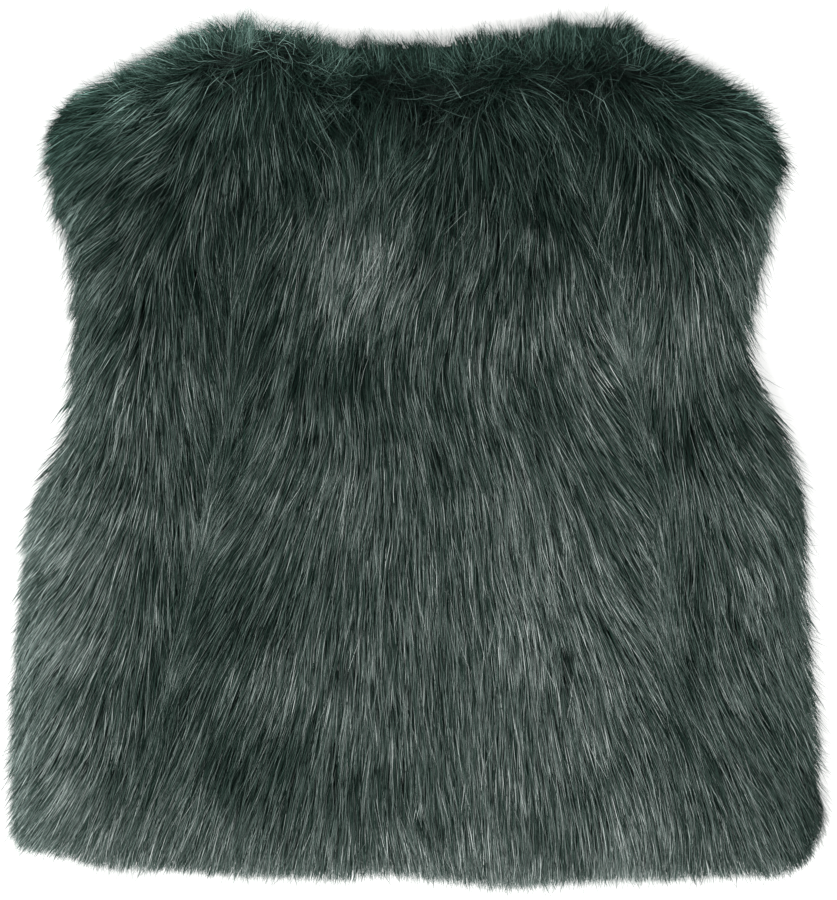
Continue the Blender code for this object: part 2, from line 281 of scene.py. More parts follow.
TUFTS = (
    Tuft(-127, 540, 8, 6),
    Tuft(-107, 545, 6, 9),
    Tuft(-66, 538, 7, 6),
    Tuft(-43, 528, 6, -11),
    Tuft(-31, 533, 6, 7),
    Tuft(15, 530, 6, -8),
    Tuft(113, 541, 7, -6),
    Tuft(126, 544, 9, 6),
    Tuft(149, 530, 7, -4),
    Tuft(235, 460, 6, 4),
    Tuft(234, 450, 4, 3),
    Tuft(228, 434, 9, -3),
    Tuft(240, 264, 10, 5),
    Tuft(-242, 254, 9, 6),
    Tuft(-231, 457, 8, 3),
    Tuft(252, 90, 12, 5),
    Tuft(254, 46, 12, 4),
)

# The pile is ruffled into locks over the shoulders and combed smoother lower down.
RUFFLE = (0.3, 1.0)
RUFFLE_HEIGHTS = (260.0, 430.0)
RUFFLED_EDGE = (0.55, 1.0)
# Between these heights its locks come to lie over one another.
LAYERED_HEIGHTS = (350.0, 460.0)


class PaintedLightRow(NamedTuple):
    """How much lighter or darker the pile is painted at one height: painted sheen low down, painted
    shade towards the shoulders.
    """

    height: float
    shade: float


# Painted sheen and painted shade, by height.
PAINTED_LIGHT_BY_HEIGHT = (
    PaintedLightRow(0, 0.22),
    PaintedLightRow(24, 0.1),
    PaintedLightRow(50, 0.02),
    PaintedLightRow(160, 0.02),
    PaintedLightRow(250, 0.01),
    PaintedLightRow(370, -0.03),
    PaintedLightRow(440, -0.12),
    PaintedLightRow(510, -0.165),
    PaintedLightRow(545, -0.115),
)


class PaintedLightMark(NamedTuple):
    """A soft patch of painted sheen, or of painted shade, on the pile.

    It fades over its width and height, and its shade is how much lighter or darker it is painted.
    """

    across: float
    height: float
    wide: float
    tall: float
    shade: float


# Painted sheen and painted shade, patch by patch.
PAINTED_LIGHT_MARKS = (
    PaintedLightMark(-112, 536, 52, 24, 0.55),
    PaintedLightMark(-192, 500, 50, 30, 0.3),
    PaintedLightMark(70, 534, 44, 14, 0.1),
    PaintedLightMark(-206, 424, 22, 42, 0.1),
    PaintedLightMark(-130, 498, 26, 20, 0.12),
    PaintedLightMark(171, 474, 26, 32, 0.26),
    PaintedLightMark(133, 432, 20, 40, -0.07),
    PaintedLightMark(-17, 426, 26, 22, 0.09),
    PaintedLightMark(-44, 388, 32, 26, 0.36),
    PaintedLightMark(-94, 372, 24, 42, -0.19),
    PaintedLightMark(-166, 382, 28, 26, -0.09),
    PaintedLightMark(170, 346, 26, 24, 0.19),
    PaintedLightMark(104, 340, 70, 34, 0.09),
    PaintedLightMark(56, 350, 20, 18, 0.07),
    PaintedLightMark(-116, 330, 42, 50, -0.09),
    PaintedLightMark(-32, 326, 44, 26, -0.14),
    PaintedLightMark(36, 312, 22, 20, 0.08),
    PaintedLightMark(133, 306, 24, 18, -0.06),
    PaintedLightMark(150, 280, 30, 22, -0.14),
    PaintedLightMark(-100, 270, 62, 26, -0.07),
    PaintedLightMark(20, 258, 24, 34, -0.09),
    PaintedLightMark(133, 236, 22, 24, -0.09),
    PaintedLightMark(96, 188, 44, 50, 0.12),
    PaintedLightMark(207, 182, 22, 42, 0.12),
    PaintedLightMark(8, 150, 24, 90, -0.04),
    PaintedLightMark(-196, 200, 30, 24, 0.18),
    PaintedLightMark(-110, 172, 46, 40, -0.27),
    PaintedLightMark(-52, 124, 30, 22, 0.15),
    PaintedLightMark(-165, 122, 24, 20, -0.07),
    PaintedLightMark(205, 118, 16, 30, -0.07),
    PaintedLightMark(172, 128, 18, 40, -0.17),
    PaintedLightMark(50, 92, 64, 46, 0.08),
    PaintedLightMark(-120, 86, 58, 28, -0.23),
    PaintedLightMark(-56, 52, 30, 16, -0.08),
    PaintedLightMark(-150, 44, 60, 12, 0.08),
    PaintedLightMark(248, 50, 20, 34, -0.28),
    PaintedLightMark(104, 494, 60, 22, -0.12),
    PaintedLightMark(110, 458, 34, 18, -0.08),
)
# Painted light on the pile's left edge and a little painted shade on its right, up to some height
# and so far in.
RIM_PAINTED_LIGHT = (0.2, -0.06)
RIM_TOP = 350.0
RIM_FADE = 60.0
RIM_WIDTH = 36.0
# Painted light through the hair: how green it is at its left, right and top edges, and how far in.
TEAL = (0.2, 0.05, 0.85)
TEAL_WIDTHS = (34.0, 24.0, 62.0)
FRONT_TEAL = 0.3


def smooth_line(points: Any, step: float = 1.5) -> Array:
    """Draws a Catmull-Rom curve through points.

    Args:
        points: the points, as pairs across and above the hem.
        step: about how far apart the curve's points lie.

    Returns:
        The curve's points, a row each.
    """
    knots = np.array(points, float)
    knots = np.vstack([2 * knots[0] - knots[1], knots, 2 * knots[-1] - knots[-2]])
    line = []
    for a, b, c, d in zip(knots, knots[1:], knots[2:], knots[3:]):
        count = max(2, math.ceil(float(np.linalg.norm(c - b)) / step))
        t = np.arange(count)[:, None] / count
        slope, bend = c - a, 2 * a - 5 * b + 4 * c - d
        line.append(b + 0.5 * (slope * t + bend * t**2 + (3 * b - a - 3 * c + d) * t**3))
    return np.vstack([*line, knots[-2]])


def to_frame(points: Array) -> Array:
    """Turns table millimetres into the frame's metres.

    Args:
        points: the points, with their place across and their height above the hem first.

    Returns:
        The points in metres, from the frame's origin.
    """
    placed = np.array(points, float)
    placed[..., 0] -= TABLE_ORIGIN[0]
    placed[..., 1] -= TABLE_ORIGIN[1]
    return placed * MM


def linear(value: str) -> tuple[float, float, float, float]:
    """Turns a colour from sRGB to linear.

    Args:
        value: the colour as a hex string.

    Returns:
        The linear colour, with an alpha of 1.
    """
    channels = [int(value[k : k + 2], 16) / 255 for k in (1, 3, 5)]
    made = [c / 12.92 if c <= 0.04045 else ((c + 0.055) / 1.055) ** 2.4 for c in channels]
    return (made[0], made[1], made[2], 1.0)


@dataclass(frozen=True)
class Line:
    """A smooth line of the cut.

    Attributes:
        points: its points, a row each.
        read_by: the column that it is read by: 1 where heights are given, and 0 for places across.
    """

    points: Array
    read_by: int

    def __call__(self, places: Array) -> Array:
        """The line's other coordinate at places."""
        return np.interp(places, self.points[:, self.read_by], self.points[:, 1 - self.read_by])


@dataclass(frozen=True)
class Cut:
    """The garment's lines.

    Attributes:
        left: the fur's left edge at heights.
        right: its right edge at heights.
        hem: its lower edge at places across.
        top: its upper edge at places across.
        neck: the neck line of the fronts at distances from the centre line.
        seam_l: the left back seam at heights.
        seam_r: the right back seam at heights.
    """

    left: Line = Line(smooth_line([(-row.left, row.height) for row in SIDES]), 1)
    right: Line = Line(smooth_line([(row.right, row.height) for row in SIDES]), 1)
    hem: Line = Line(smooth_line(HEM), 0)
    top: Line = Line(smooth_line(SHOULDERS), 0)
    neck: Line = Line(smooth_line(FRONT_NECK), 0)
    seam_l: Line = Line(smooth_line([(-row.left, row.height) for row in SEAMS]), 1)
    seam_r: Line = Line(smooth_line([(row.right, row.height) for row in SEAMS]), 1)

    def front_neck(self, across: Array) -> Array:
        """The neck line of the fronts at places across."""
        return self.neck(np.abs(across))

    def middle(self, height: Array) -> Array:
        """The centre line at heights."""
        return np.zeros_like(height)


CUT = Cut()


@dataclass
class Map:
    """Values on an even grid over the garment, read between its points.

    Attributes:
        low: the grid's lowest corner, in table millimetres.
        pitch: how far apart its points lie.
        values: one value, or one row of values, for each grid point, by height and then across.
    """

    low: tuple[float, float]
    pitch: float
    values: Array

    def __call__(self, points: Array) -> Array:
        """Reads the map, flat past its edges.

        Args:
            points: where it is read.

        Returns:
            The value at each point, or its row of values.
        """
        rows, columns = self.values.shape[:2]
        u = np.clip((points[..., 0] - self.low[0]) / self.pitch, 0, columns - 1.001)
        v = np.clip((points[..., 1] - self.low[1]) / self.pitch, 0, rows - 1.001)
        c, r = u.astype(int), v.astype(int)
        s, t = u - c, v - r
        if self.values.ndim == 3:
            s, t = s[..., None], t[..., None]
        low = self.values[r, c] * (1 - s) + self.values[r, c + 1] * s
        high = self.values[r + 1, c] * (1 - s) + self.values[r + 1, c + 1] * s
        return low * (1 - t) + high * t


@dataclass
class PileBed:
    """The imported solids' form, read from above and below, which the hairs fill.

    Attributes:
        pitch: the spacing of the readings.
        lowest: the garment's lowest corner.
        span: its width and length.
        margin: how far the maps run past it.
        edge_height: the height of the pile's edge, where the layers meet.
        edge_drop: how much lower the fronts' pile ends there.
        droop: how far a hair sinks for each millimetre that it reaches past the edge.
        least: the lowest that the back's pile and the fronts' sink to.
        cast_from: how far over and under the frame's origin the solids are read from, in metres.
        top: the height of the back's pile.
        bottom: the height of the fronts' underside.
        inset: how far inside the fur's outline each place is.
    """

    pitch: float = 2.5
    lowest: tuple[float, float] = (-256.0, -1.0)
    span: tuple[float, float] = (512.0, 545.0)
    margin: float = 35.0
    edge_height: float = 16.0
    edge_drop: float = 4.0
    droop: float = 0.55
    least: tuple[float, float] = (2.0, 1.0)
    cast_from: float = 0.2
    top: Map = field(init=False)
    bottom: Map = field(init=False)
    inset: Map = field(init=False)

    def __post_init__(self) -> None:
        """Reads the solids."""
        low = (self.lowest[0] - self.margin, self.lowest[1] - self.margin)
        columns, rows = (int((span + 2 * self.margin) / self.pitch) + 1 for span in self.span)
        xs = low[0] + self.pitch * np.arange(columns)
        ys = low[1] + self.pitch * np.arange(rows)
        across, height = np.meshgrid(xs, ys)
        spots = np.stack([across, height], axis=2)
        down = self.cast(spots, ("back_centre", "back_side_left", "back_side_right"), -1.0)
        up = self.cast(spots, ("front_left", "front_right"), 1.0)
        beside = (across > CUT.left(height)) & (across < CUT.right(height))
        inside = beside & (height > CUT.hem(across)) & (height < CUT.top(across))
        inset = self.edge_distance(spots, inside)
        outside = self.edge_height + self.droop * np.minimum(inset, 0)
        down = np.where(np.isnan(down), np.maximum(outside, self.least[0]), down)
        up = np.where(np.isnan(up), np.maximum(outside - self.edge_drop, self.least[1]), up)
        self.top = Map(low, self.pitch, self.eased(down))
        self.bottom = Map(low, self.pitch, up)
        self.inset = Map(low, self.pitch, inset)

    @staticmethod
    def eased(values: Array) -> Array:
        """Closes the narrow gaps between the panels.

        Args:
            values: heights, by row and column.

        Returns:
            The higher of each value and the mean of those two steps around it.
        """
        spread = np.pad(values, 2, mode="edge")
        rows, columns = values.shape
        steps = [(down, along) for down in (0, 2, 4) for along in (0, 2, 4)]
        around = [spread[down : down + rows, along : along + columns] for down, along in steps]
        return np.maximum(values, np.mean(around, axis=0))

    def cast(self, spots: Array, nodes: tuple[str, ...], way: float) -> Array:
        """Reads the heights of solids by casting rays.

        Args:
            spots: the places to read, by row and column.
            nodes: the solids' names.
            way: -1 to cast down from above, and 1 to cast up from below.

        Returns:
            The height at each place in millimetres, and NaN where no ray hits.
        """
        start = -way * self.cast_from
        outer = max if way < 0 else min
        ray = Vector((0, 0, way))
        places = to_frame(spots)
        found = np.full(spots.shape[:2], np.nan)
        for tree in [tree_of(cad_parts[name]) for name in nodes]:
            for spot in np.ndindex(found.shape):
                hit = tree.ray_cast(Vector((places[spot][0], places[spot][1], start)), ray)[0]
                if hit is not None:
                    seen = hit.z / MM
                    found[spot] = seen if np.isnan(found[spot]) else outer(found[spot], seen)
        return found

    @staticmethod
    def edge_distance(spots: Array, inside: Array) -> Array:
        """The distance from each place to the garment's edge, positive inside it.

        Args:
            spots: the places, by row and column.
            inside: whether each place is on the garment.

        Returns:
            The signed distances in millimetres.
        """
        edge = np.vstack([line.points for line in (CUT.hem, CUT.right, CUT.top, CUT.left)])[::2]
        distance = np.empty(spots.shape[:2])
        for r in range(spots.shape[0]):
            apart = spots[r][:, None, :] - edge[None]
            distance[r] = np.sqrt((apart**2).sum(axis=2).min(axis=1))
        return np.where(inside, distance, -distance)


def tree_of(thing: bpy.types.Object) -> BVHTree:
    """A search tree over an object's faces, in the frame."""
    spots = [thing.matrix_world @ v.co for v in thing.data.vertices]
    return BVHTree.FromPolygons(spots, [tuple(p.vertices) for p in thing.data.polygons])


class Nap:
    """The way a panel's pile lies."""

    def __call__(self, points: Array) -> Array:
        """The unit direction at points: straight down the garment unless a panel says otherwise."""
        return np.broadcast_to(np.array([0.0, -1.0]), points.shape)

    def upright(self, points: Array) -> Array:
        """How nearly the pile stands up at points, from 0 to 1."""
        return np.zeros(points.shape[:-1])

    def turned(self, points: Array) -> Array:
        """Whether the pile at points is turned up over the top edge, from 0 to 1."""
        return np.zeros(points.shape[:-1])


@dataclass
class BackNap(Nap):
    """The way the back's pile lies: down from its parting, and up over the top edge above it.

    Attributes:
        pitch: the spacing of the grid that holds the directions.
        low: its lowest corner.
        size: how many points it has across and up.
    """

    pitch: float = 4.0
    low: tuple[float, float] = (-290.0, -36.0)
    size: tuple[int, int] = (146, 155)

    def __post_init__(self) -> None:
        """Works the directions out on a grid."""
        xs, ys = (low + self.pitch * np.arange(size) for low, size in zip(self.low, self.size))
        across, height = np.meshgrid(xs, ys)
        lean = np.radians(np.array([self.lean_along(row, h) for row, h in zip(across, ys)]))
        settled = np.stack([np.sin(lean), -np.cos(lean)], axis=2)
        self.field = Map(self.low, self.pitch, self.parted(across, height, settled))

    @staticmethod
    def lean_along(across: Array, height: float) -> Array:
        """Reads the nap table along one height.

        Args:
            across: the places across the garment.
            height: the height above the hem.

        Returns:
            The lean at each place, in degrees.
        """
        edge_l, edge_r = float(CUT.left(height)), float(CUT.right(height))
        seam_l, seam_r = float(CUT.seam_l(height)), float(CUT.seam_r(height))
        places = [
            edge_l,
            edge_l + RIM_INSET,
            (edge_l + RIM_INSET + seam_l) / 2,
            seam_l - SEAM_OUTER_FLANK,
            seam_l + SEAM_INNER_FLANK,
            HALF_WAY * seam_l,
            0.0,
            HALF_WAY * seam_r,
            seam_r - SEAM_INNER_FLANK,
            seam_r + SEAM_OUTER_FLANK,
            (seam_r + edge_r) / 2,
            edge_r,
        ]
        heights, *stations = zip(*NAP)
        return np.interp(across, places, [np.interp(height, heights, leans) for leans in stations])

    @staticmethod
    def parted(across: Array, height: Array, settled: Array) -> Array:
        """Parts the pile under the top edge.

        Args:
            across: the places across the garment.
            height: their heights above the hem.
            settled: the directions from the nap table.

        Returns:
            For each place the pile's direction, which is short where the pile stands up, and how
            far it is turned over the edge.
        """
        places = [row.across for row in PARTINGS]
        depth = np.interp(across, places, [row.depth for row in PARTINGS])
        depth = depth + PARTING_WANDER * Noise(*PARTING_PATCHES)(np.stack([across, height], axis=2))
        lean = np.radians(np.interp(across, places, [row.lean for row in PARTINGS]))
        over = np.stack([np.sin(lean), np.cos(lean)], axis=2)
        below = CUT.top(across) - height
        turned = np.clip((depth - below) / PARTING_WIDTH + 0.5, 0, 1)[..., None]
        return np.concatenate([settled * (1 - turned) + over * turned, turned], axis=2)

    def __call__(self, points: Array) -> Array:
        """The unit direction at points."""
        found = self.field(points)[..., :2]
        return found / np.maximum(np.linalg.norm(found, axis=-1), 1e-6)[..., None]

    def upright(self, points: Array) -> Array:
        """How nearly the pile stands up at points, from 0 to 1."""
        return np.clip(1 - np.linalg.norm(self.field(points)[..., :2], axis=-1), 0, 1)

    def turned(self, points: Array) -> Array:
        """Whether the pile at points is turned up over the top edge, from 0 to 1."""
        return self.field(points)[..., 2]


@dataclass
class FrontNap(Nap):
    """The way the fronts' pressed pile lies: down the fronts, and out towards their edges.

    Attributes:
        spread: how much it leans out, for each millimetre across.
        drift: how far it drifts from side to side.
        drift_lengths: over how far it drifts, up and across.
    """

    spread: float = 0.0032
    drift: float = 0.12
    drift_lengths: tuple[float, float] = (57.0, 41.0)

    def __call__(self, points: Array) -> Array:
        """Works out the way the pile lies.

        Args:
            points: the places, in table millimetres.

        Returns:
            The unit direction at each.
        """
        up, over = self.drift_lengths
        sideways = np.sin(points[..., 0] * self.spread)
        drift = self.drift * np.sin(points[..., 1] / up + points[..., 0] / over)
        found = np.stack([sideways + drift, -np.ones(points.shape[:-1])], axis=-1)
        return found / np.linalg.norm(found, axis=-1)[..., None]


def painted_light_of(points: Array) -> Array:
    """Paints sheen and shade into the back's pile: by height, in patches, and along its sides.

    Args:
        points: the places, a row each.

    Returns:
        How much lighter or darker it is painted at each.
    """
    across, height = points[:, 0], points[:, 1]
    found = np.interp(height, [row.height for row in PAINTED_LIGHT_BY_HEIGHT], [row.shade for row in PAINTED_LIGHT_BY_HEIGHT])
    for mark in PAINTED_LIGHT_MARKS:
        over, up = (across - mark.across) / mark.wide, (height - mark.height) / mark.tall
        found += mark.shade * np.exp(-(over**2 + up**2))
    low = np.clip((RIM_TOP - height) / RIM_FADE, 0, 1)
    for shade, edge in zip(RIM_PAINTED_LIGHT, (CUT.left, CUT.right)):
        found += shade * low * np.exp(-(((across - edge(height)) / RIM_WIDTH) ** 2))
    return found


def teal_of(points: Array) -> Array:
    """Tells how green the pile looks: at the edges, where light comes through the hair.

    Args:
        points: the places, a row each.

    Returns:
        How green it looks at each, from 0 to 1.
    """
    across, height = points[:, 0], points[:, 1]
    insets = (across - CUT.left(height), across - CUT.right(height), CUT.top(across) - height)
    edges = zip(TEAL, insets, TEAL_WIDTHS)
    return np.clip(sum(teal * np.exp(-((inset / wide) ** 2)) for teal, inset, wide in edges), 0, 1)


def tufts_at(points: Array) -> Array:
    """Tells where the fur's edge has tufts and notches.

    Args:
        points: the places, a row each.

    Returns:
        How much further than its outline the fur reaches at each.
    """
    found = np.zeros(len(points))
    for tuft in TUFTS:
        apart = ((points - (tuft.across, tuft.height)) ** 2).sum(axis=1)
        found += tuft.reach * np.exp(-apart / tuft.wide**2)
    return found


class Layer(Enum):
    """The kinds of hair in the pile, from the backing up."""

    UNDERCOAT = "undercoat"
    GUARD = "guard_hair"
    AWN = "awn_hair"
    FRINGE = "fringe_hair"
    PRESSED = "pressed_pile"


@dataclass(frozen=True)
class HairKind:
    """One kind of hair.

    Attributes:
        layer: which kind it is.
        per_cm2: how many stand on each square centimetre of backing.
        length: the mean length.
        length_spread: how much a hair's length differs from the mean, as a share of it.
        width: the width of a wisp of fibres near its middle.
        segments: how many straight stretches draw a hair.
        reach: how high the shortest and longest stand, as shares of the pile's height.
        stray: how far a hair strays from the nap, in degrees.
        gather: how far the tips of a wisp draw together, from 0 to 1.
        overhang: how far the longest pass the garment's edge.
        tone: the darkest and lightest shade, as shares of the fur's range.
        roll: how far a wisp is turned about its own length, in degrees.
        rim: how far from the garment's edge it stands at most.
        hem: how far above the hem it also stands.
        crest: how far below the shoulders and the neck it also stands.
        painted_light: how much of the painted sheen and shade over the back it takes.
    """

    layer: Layer
    per_cm2: float
    length: float
    length_spread: float
    width: float
    segments: int
    reach: tuple[float, float]
    stray: float
    gather: float
    overhang: float
    tone: tuple[float, float]
    roll: float
    rim: float = 1000.0
    hem: float = 0.0
    crest: float = 0.0
    painted_light: float = 1.0


# Keeps the random draws of one panel apart from those of the next.
PANEL_STRIDE = 101
# The fringe thins out from the crest inwards by this power of a random draw.
CREST_THINNING = 0.5
# Hairs belong to wisps, and wisps to locks, whose middles lie about so far apart.
WISP_PITCH = 6.5
WISP_MIDDLES = 17
LOCK_PITCH = 17.0
LOCK_MIDDLES = 19
MIDDLE_DRIFT = 0.42
MIDDLE_CELLS = 120
# A hair runs along the surface for this share of its length, and turns with the pile's flow.
RUN = 0.9
RUN_EASE = 1.15
FLOW = 4.0
FLOW_WAVES = ((0.9, Patches(34, 3)), (0.6, Patches(13, 5)))
# A wisp strays less than its hairs do, a hair curls more, and all stray more over the shoulders.
WISP_STRAY = 0.6
WISP_TURNS = Patches(9, 9)
HAIR_CURL = 1.3
LAYERED_STRAY = 1.1
# How locks differ from one another, and how far a hair follows its lock's turn.
LOCK_TURN = 9.0
LOCK_TURNS = Patches(7, 23)
LOCK_FOLLOW = (0.4, 0.4)
LOCK_SPREAD = 0.16
LOCK_LENGTHS = Patches(7, 29)
LOCK_SHIFTS = Patches(7, 59)
LOCK_SHADE = 0.05
LOCK_SHADES = Patches(7, 53)
LOCK_DRIFT = 9.0
LOCK_DRIFTS = (Patches(7, 43), Patches(7, 47))
# How hard tips are drawn to the middle of their wisp and lock, and how late along the hair.
UPRIGHT_LOOSE = 0.7
WISP_CLOSE = 1.6
LOCK_GATHER = 0.95
LOCK_CLOSE = 1.3
# Hairs between locks sink deeper than those in their middles, and get painted shade.
LOCK_HEART = 0.22
LOCK_BORDER = 0.3
LOCK_SINK = 0.1
LOCK_SINK_LIMIT = 1.5
LOCK_EDGE_SINK = 0.22
LOCK_EDGE_PAINTED_SHADE = 0.13
# How far a hair reaches past the edge: most a little, and few far. Turned ones reach less.
OVERHANG_DRAW = (1.1, 2.2)
OVERHANG_GAIN = 1.6
OVERHANG_TURNED = 0.4
OVERHANG_BACK = 1.5
# How hairs that reach too far are drawn back.
DRAW_ROUNDS = 5
DRAW_STEP = 0.35
# How steeply hairs climb from the backing, more evenly over the shoulders, and how tips flick.
CLIMB = 2.1
CLIMB_LAYERED = 0.8
TIP_FLICK = 2.2
LOWEST_TIP = 1.0
LOWEST_PRESSED = 0.3
# A hair's width along it, how widths differ, and how slim broad hairs get where the pile stands.
TAPER_AT = (0.0, 0.25, 0.7, 1.0)
TAPER = (0.8, 1.0, 0.72, 0.0)
WIDTHS = (0.7, 1.3)
SLIM = 1.25
SLIM_START = 0.05
SLIM_LIMITS = (0.4, 0.7)
TURNED_SLIM = 0.7
UPRIGHT_SLIM = 0.8
# How hairs' own shades are spread, and how the shades of wisps and broad patches differ.
SHADE_DRAW = (1.0, 1.55)
WISP_SHADE = 0.07
WISP_SHADES = Patches(6.5, 31)
BROAD_SHADES = ((0.03, Patches(31, 37)), (0.04, Patches(14, 39)))
# How far light reaches down hairs that stand free of the pile.
TURNED_LIFT = 0.9
LIT_DEPTH = 0.75

UNDERCOAT = HairKind(
    layer=Layer.UNDERCOAT,
    per_cm2=11.5,
    length=40,
    length_spread=0.16,
    width=1.9,
    segments=3,
    reach=(0.35, 0.86),
    stray=10,
    gather=0.2,
    overhang=-1.0,
    tone=(0.0, 0.36),
    roll=28,
)
GUARD = HairKind(
    layer=Layer.GUARD,
    per_cm2=28.5,
    length=48,
    length_spread=0.15,
    width=0.6,
    segments=3,
    reach=(0.72, 1.0),
    stray=6.0,
    gather=0.4,
    overhang=2.5,
    tone=(0.15, 0.98),
    roll=38,
)
AWN = HairKind(
    layer=Layer.AWN,
    per_cm2=12.0,
    length=54,
    length_spread=0.16,
    width=0.44,
    segments=4,
    reach=(0.88, 1.05),
    stray=6.5,
    gather=0.15,
    overhang=5.0,
    tone=(0.25, 0.96),
    roll=45,
    painted_light=0.8,
)
FRINGE = HairKind(
    layer=Layer.FRINGE,
    per_cm2=62.0,
    length=44,
    length_spread=0.22,
    width=0.28,
    segments=3,
    reach=(0.3, 1.08),
    stray=13,
    gather=0.1,
    overhang=13.0,
    tone=(0.2, 0.88),
    roll=45,
    rim=29.0,
    hem=46.0,
    crest=64.0,
    painted_light=0.6,
)
PRESSED = HairKind(
    layer=Layer.PRESSED,
    per_cm2=7.5,
    length=42,
    length_spread=0.18,
    width=1.5,
    segments=4,
    reach=(0.5, 1.0),
    stray=9,
    gather=0.4,
    overhang=6.0,
    tone=(0.05, 0.7),
    roll=22,
)


# The pressed pile ends this far above the floor.
FLOOR_GAP = 0.1


@dataclass
class Strands:
    """The paths and looks of many hairs.

    Attributes:
        paths: the points of each hair, root first, in table millimetres.
        widths: the width at each point of each hair.
        tones: each hair's shade.
        teal: how green each hair is.
        rolls: each hair's turn about its own length, in radians.
        lift: how far each stands free of the pile, so that light reaches down it, from 0 to 1.
        facing: 1 where the hairs' broad side faces up, and -1 where it faces down.
    """

    paths: Array
    widths: Array
    tones: Array
    teal: Array
    rolls: Array
    lift: Array
    facing: float

    def edges(self) -> tuple[Array, Array]:
        """Works out each hair's ribbon.

        Returns:
            The points of its two edges, in the frame's metres.
        """
        run = np.gradient(self.paths, axis=1)
        run /= np.maximum(np.linalg.norm(run, axis=2), 1e-6)[..., None]
        flat = np.stack([-run[..., 1], run[..., 0], np.zeros(run.shape[:2])], axis=2)
        flat /= np.maximum(np.linalg.norm(flat, axis=2), 1e-6)[..., None]
        up = np.cross(run, flat)
        roll = self.rolls[:, None, None]
        side = flat * np.cos(roll) + up * np.sin(roll)
        half = side * self.widths[..., None] / 2 * self.facing
        left, right = self.paths + half, self.paths - half
        for edge in (left, right):
            edge[..., 2] = np.maximum(edge[..., 2], FLOOR_GAP)
        return to_frame(left), to_frame(right)

    def mesh(self, name: str) -> bpy.types.Object:
        """Builds one joined mesh of tapered ribbons.

        Args:
            name: the piece's name.

        Returns:
            The mesh object, with each hair's place along and across, shade and number, and a map
            that gives each hair a strip of its own.
        """
        count, joints = self.paths.shape[:2]
        left, right = self.edges()
        tips = to_frame(self.paths[:, -1])
        per_hair = 2 * (joints - 1) + 1
        spots = np.empty((count, per_hair, 3))
        spots[:, 0:-1:2] = left[:, :-1]
        spots[:, 1:-1:2] = right[:, :-1]
        spots[:, -1] = tips
        first = (np.arange(count) * per_hair)[:, None, None]
        step = np.arange(joints - 2)[None, :, None] * 2
        quads = (first + step + np.array([0, 1, 3, 2])).reshape(count, -1)
        last = (first + np.arange(per_hair - 3, per_hair)).reshape(count, -1)
        corners = np.concatenate([quads, last], axis=1).astype(np.int32)
        sizes = np.tile(np.array([4] * (joints - 2) + [3], np.int32), count)
        made = mesh_object(name, spots.reshape(-1, 3), corners.ravel(), sizes)
        along = np.repeat(np.linspace(0, 1, joints), 2)[:-1]
        sides = np.array([-1.0, 1.0] * (joints - 1) + [0.0])
        seeds = np.random.default_rng(7).random(count)
        add_values(made, "along", (along[None] ** (1 - LIT_DEPTH * self.lift[:, None])).ravel())
        add_values(made, "across", np.tile(sides, count))
        add_values(made, "tone", np.repeat(self.tones, per_hair))
        add_values(made, "teal", np.repeat(self.teal, per_hair))
        add_values(made, "hair", np.repeat(seeds, per_hair))
        self.lay_map(made, corners, along, sides, count, per_hair)
        return made

    @staticmethod
    def lay_map(
        made: bpy.types.Object,
        corners: Array,
        along: Array,
        sides: Array,
        count: int,
        per_hair: int,
    ) -> None:
        """Gives each hair a strip of its own in the texture map.

        Args:
            made: the mesh object.
            corners: the point number of each face corner, a row for each hair.
            along: how far along a hair each of its points lies.
            sides: which edge of the ribbon each of its points lies on.
            count: how many hairs there are.
            per_hair: how many points each has.
        """
        # Each strip is about eight times as long as it is wide, with a little room around it.
        columns = max(1, round(math.sqrt(count / 8)))
        rows = math.ceil(count / columns)
        hair = np.arange(count)
        place = corners - (hair * per_hair)[:, None]
        u = (hair % columns)[:, None] + 0.06 + 0.88 * along[place]
        v = (hair // columns)[:, None] + 0.5 + 0.38 * sides[place]
        layer = made.data.uv_layers.new(name="OFBake")
        flat = np.stack([u / columns, v / rows], axis=2).astype(np.float32)
        layer.uv.foreach_set("vector", flat.ravel())


def mesh_object(name: str, spots: Array, corners: Array, sizes: Array) -> bpy.types.Object:
    """Makes a mesh object from arrays, shaded smooth.

    Args:
        name: the object's name.
        spots: the points, in metres.
        corners: the point number of each face corner.
        sizes: how many corners each face has.

    Returns:
        The object, linked to the scene.
    """
    mesh = bpy.data.meshes.new(name)
    mesh.vertices.add(len(spots))
    mesh.vertices.foreach_set("co", spots.astype(np.float32).ravel())
    mesh.loops.add(len(corners))
    mesh.loops.foreach_set("vertex_index", corners.astype(np.int32))
    mesh.polygons.add(len(sizes))
    starts = np.concatenate([[0], np.cumsum(sizes)[:-1]]).astype(np.int32)
    mesh.polygons.foreach_set("loop_start", starts)
    mesh.update(calc_edges=True)
    mesh.shade_smooth()
    made = bpy.data.objects.new(name, mesh)
    bpy.context.scene.collection.objects.link(made)
    return made


def add_values(made: bpy.types.Object, name: str, values: Array) -> None:
    """Stores a number for each point of a mesh.

    Args:
        made: the mesh object.
        name: what the numbers are called.
        values: the numbers, one for each point.
    """
    store = made.data.attributes.new(name, "FLOAT", "POINT")
    store.data.foreach_set("value", values.astype(np.float32))


@dataclass
class Noise:
    """Soft random values over the garment, the same on each run.

    Attributes:
        size: the width of its patches.
        seed: which values it gives.
        low: the lowest corner of the ground that it covers.
        span: that ground's width and length.
    """

    size: float
    seed: int
    low: tuple[float, float] = (-320.0, -60.0)
    span: tuple[float, float] = (640.0, 680.0)

    def __post_init__(self) -> None:
        """Draws the values."""
        rng = np.random.default_rng(self.seed)
        columns, rows = (int(span / self.size) + 3 for span in self.span)
        self.values = Map(self.low, self.size, rng.standard_normal((rows, columns)))

    def __call__(self, points: Array) -> Array:
        """The values at points, mostly between -1 and 1."""
        return self.values(points)


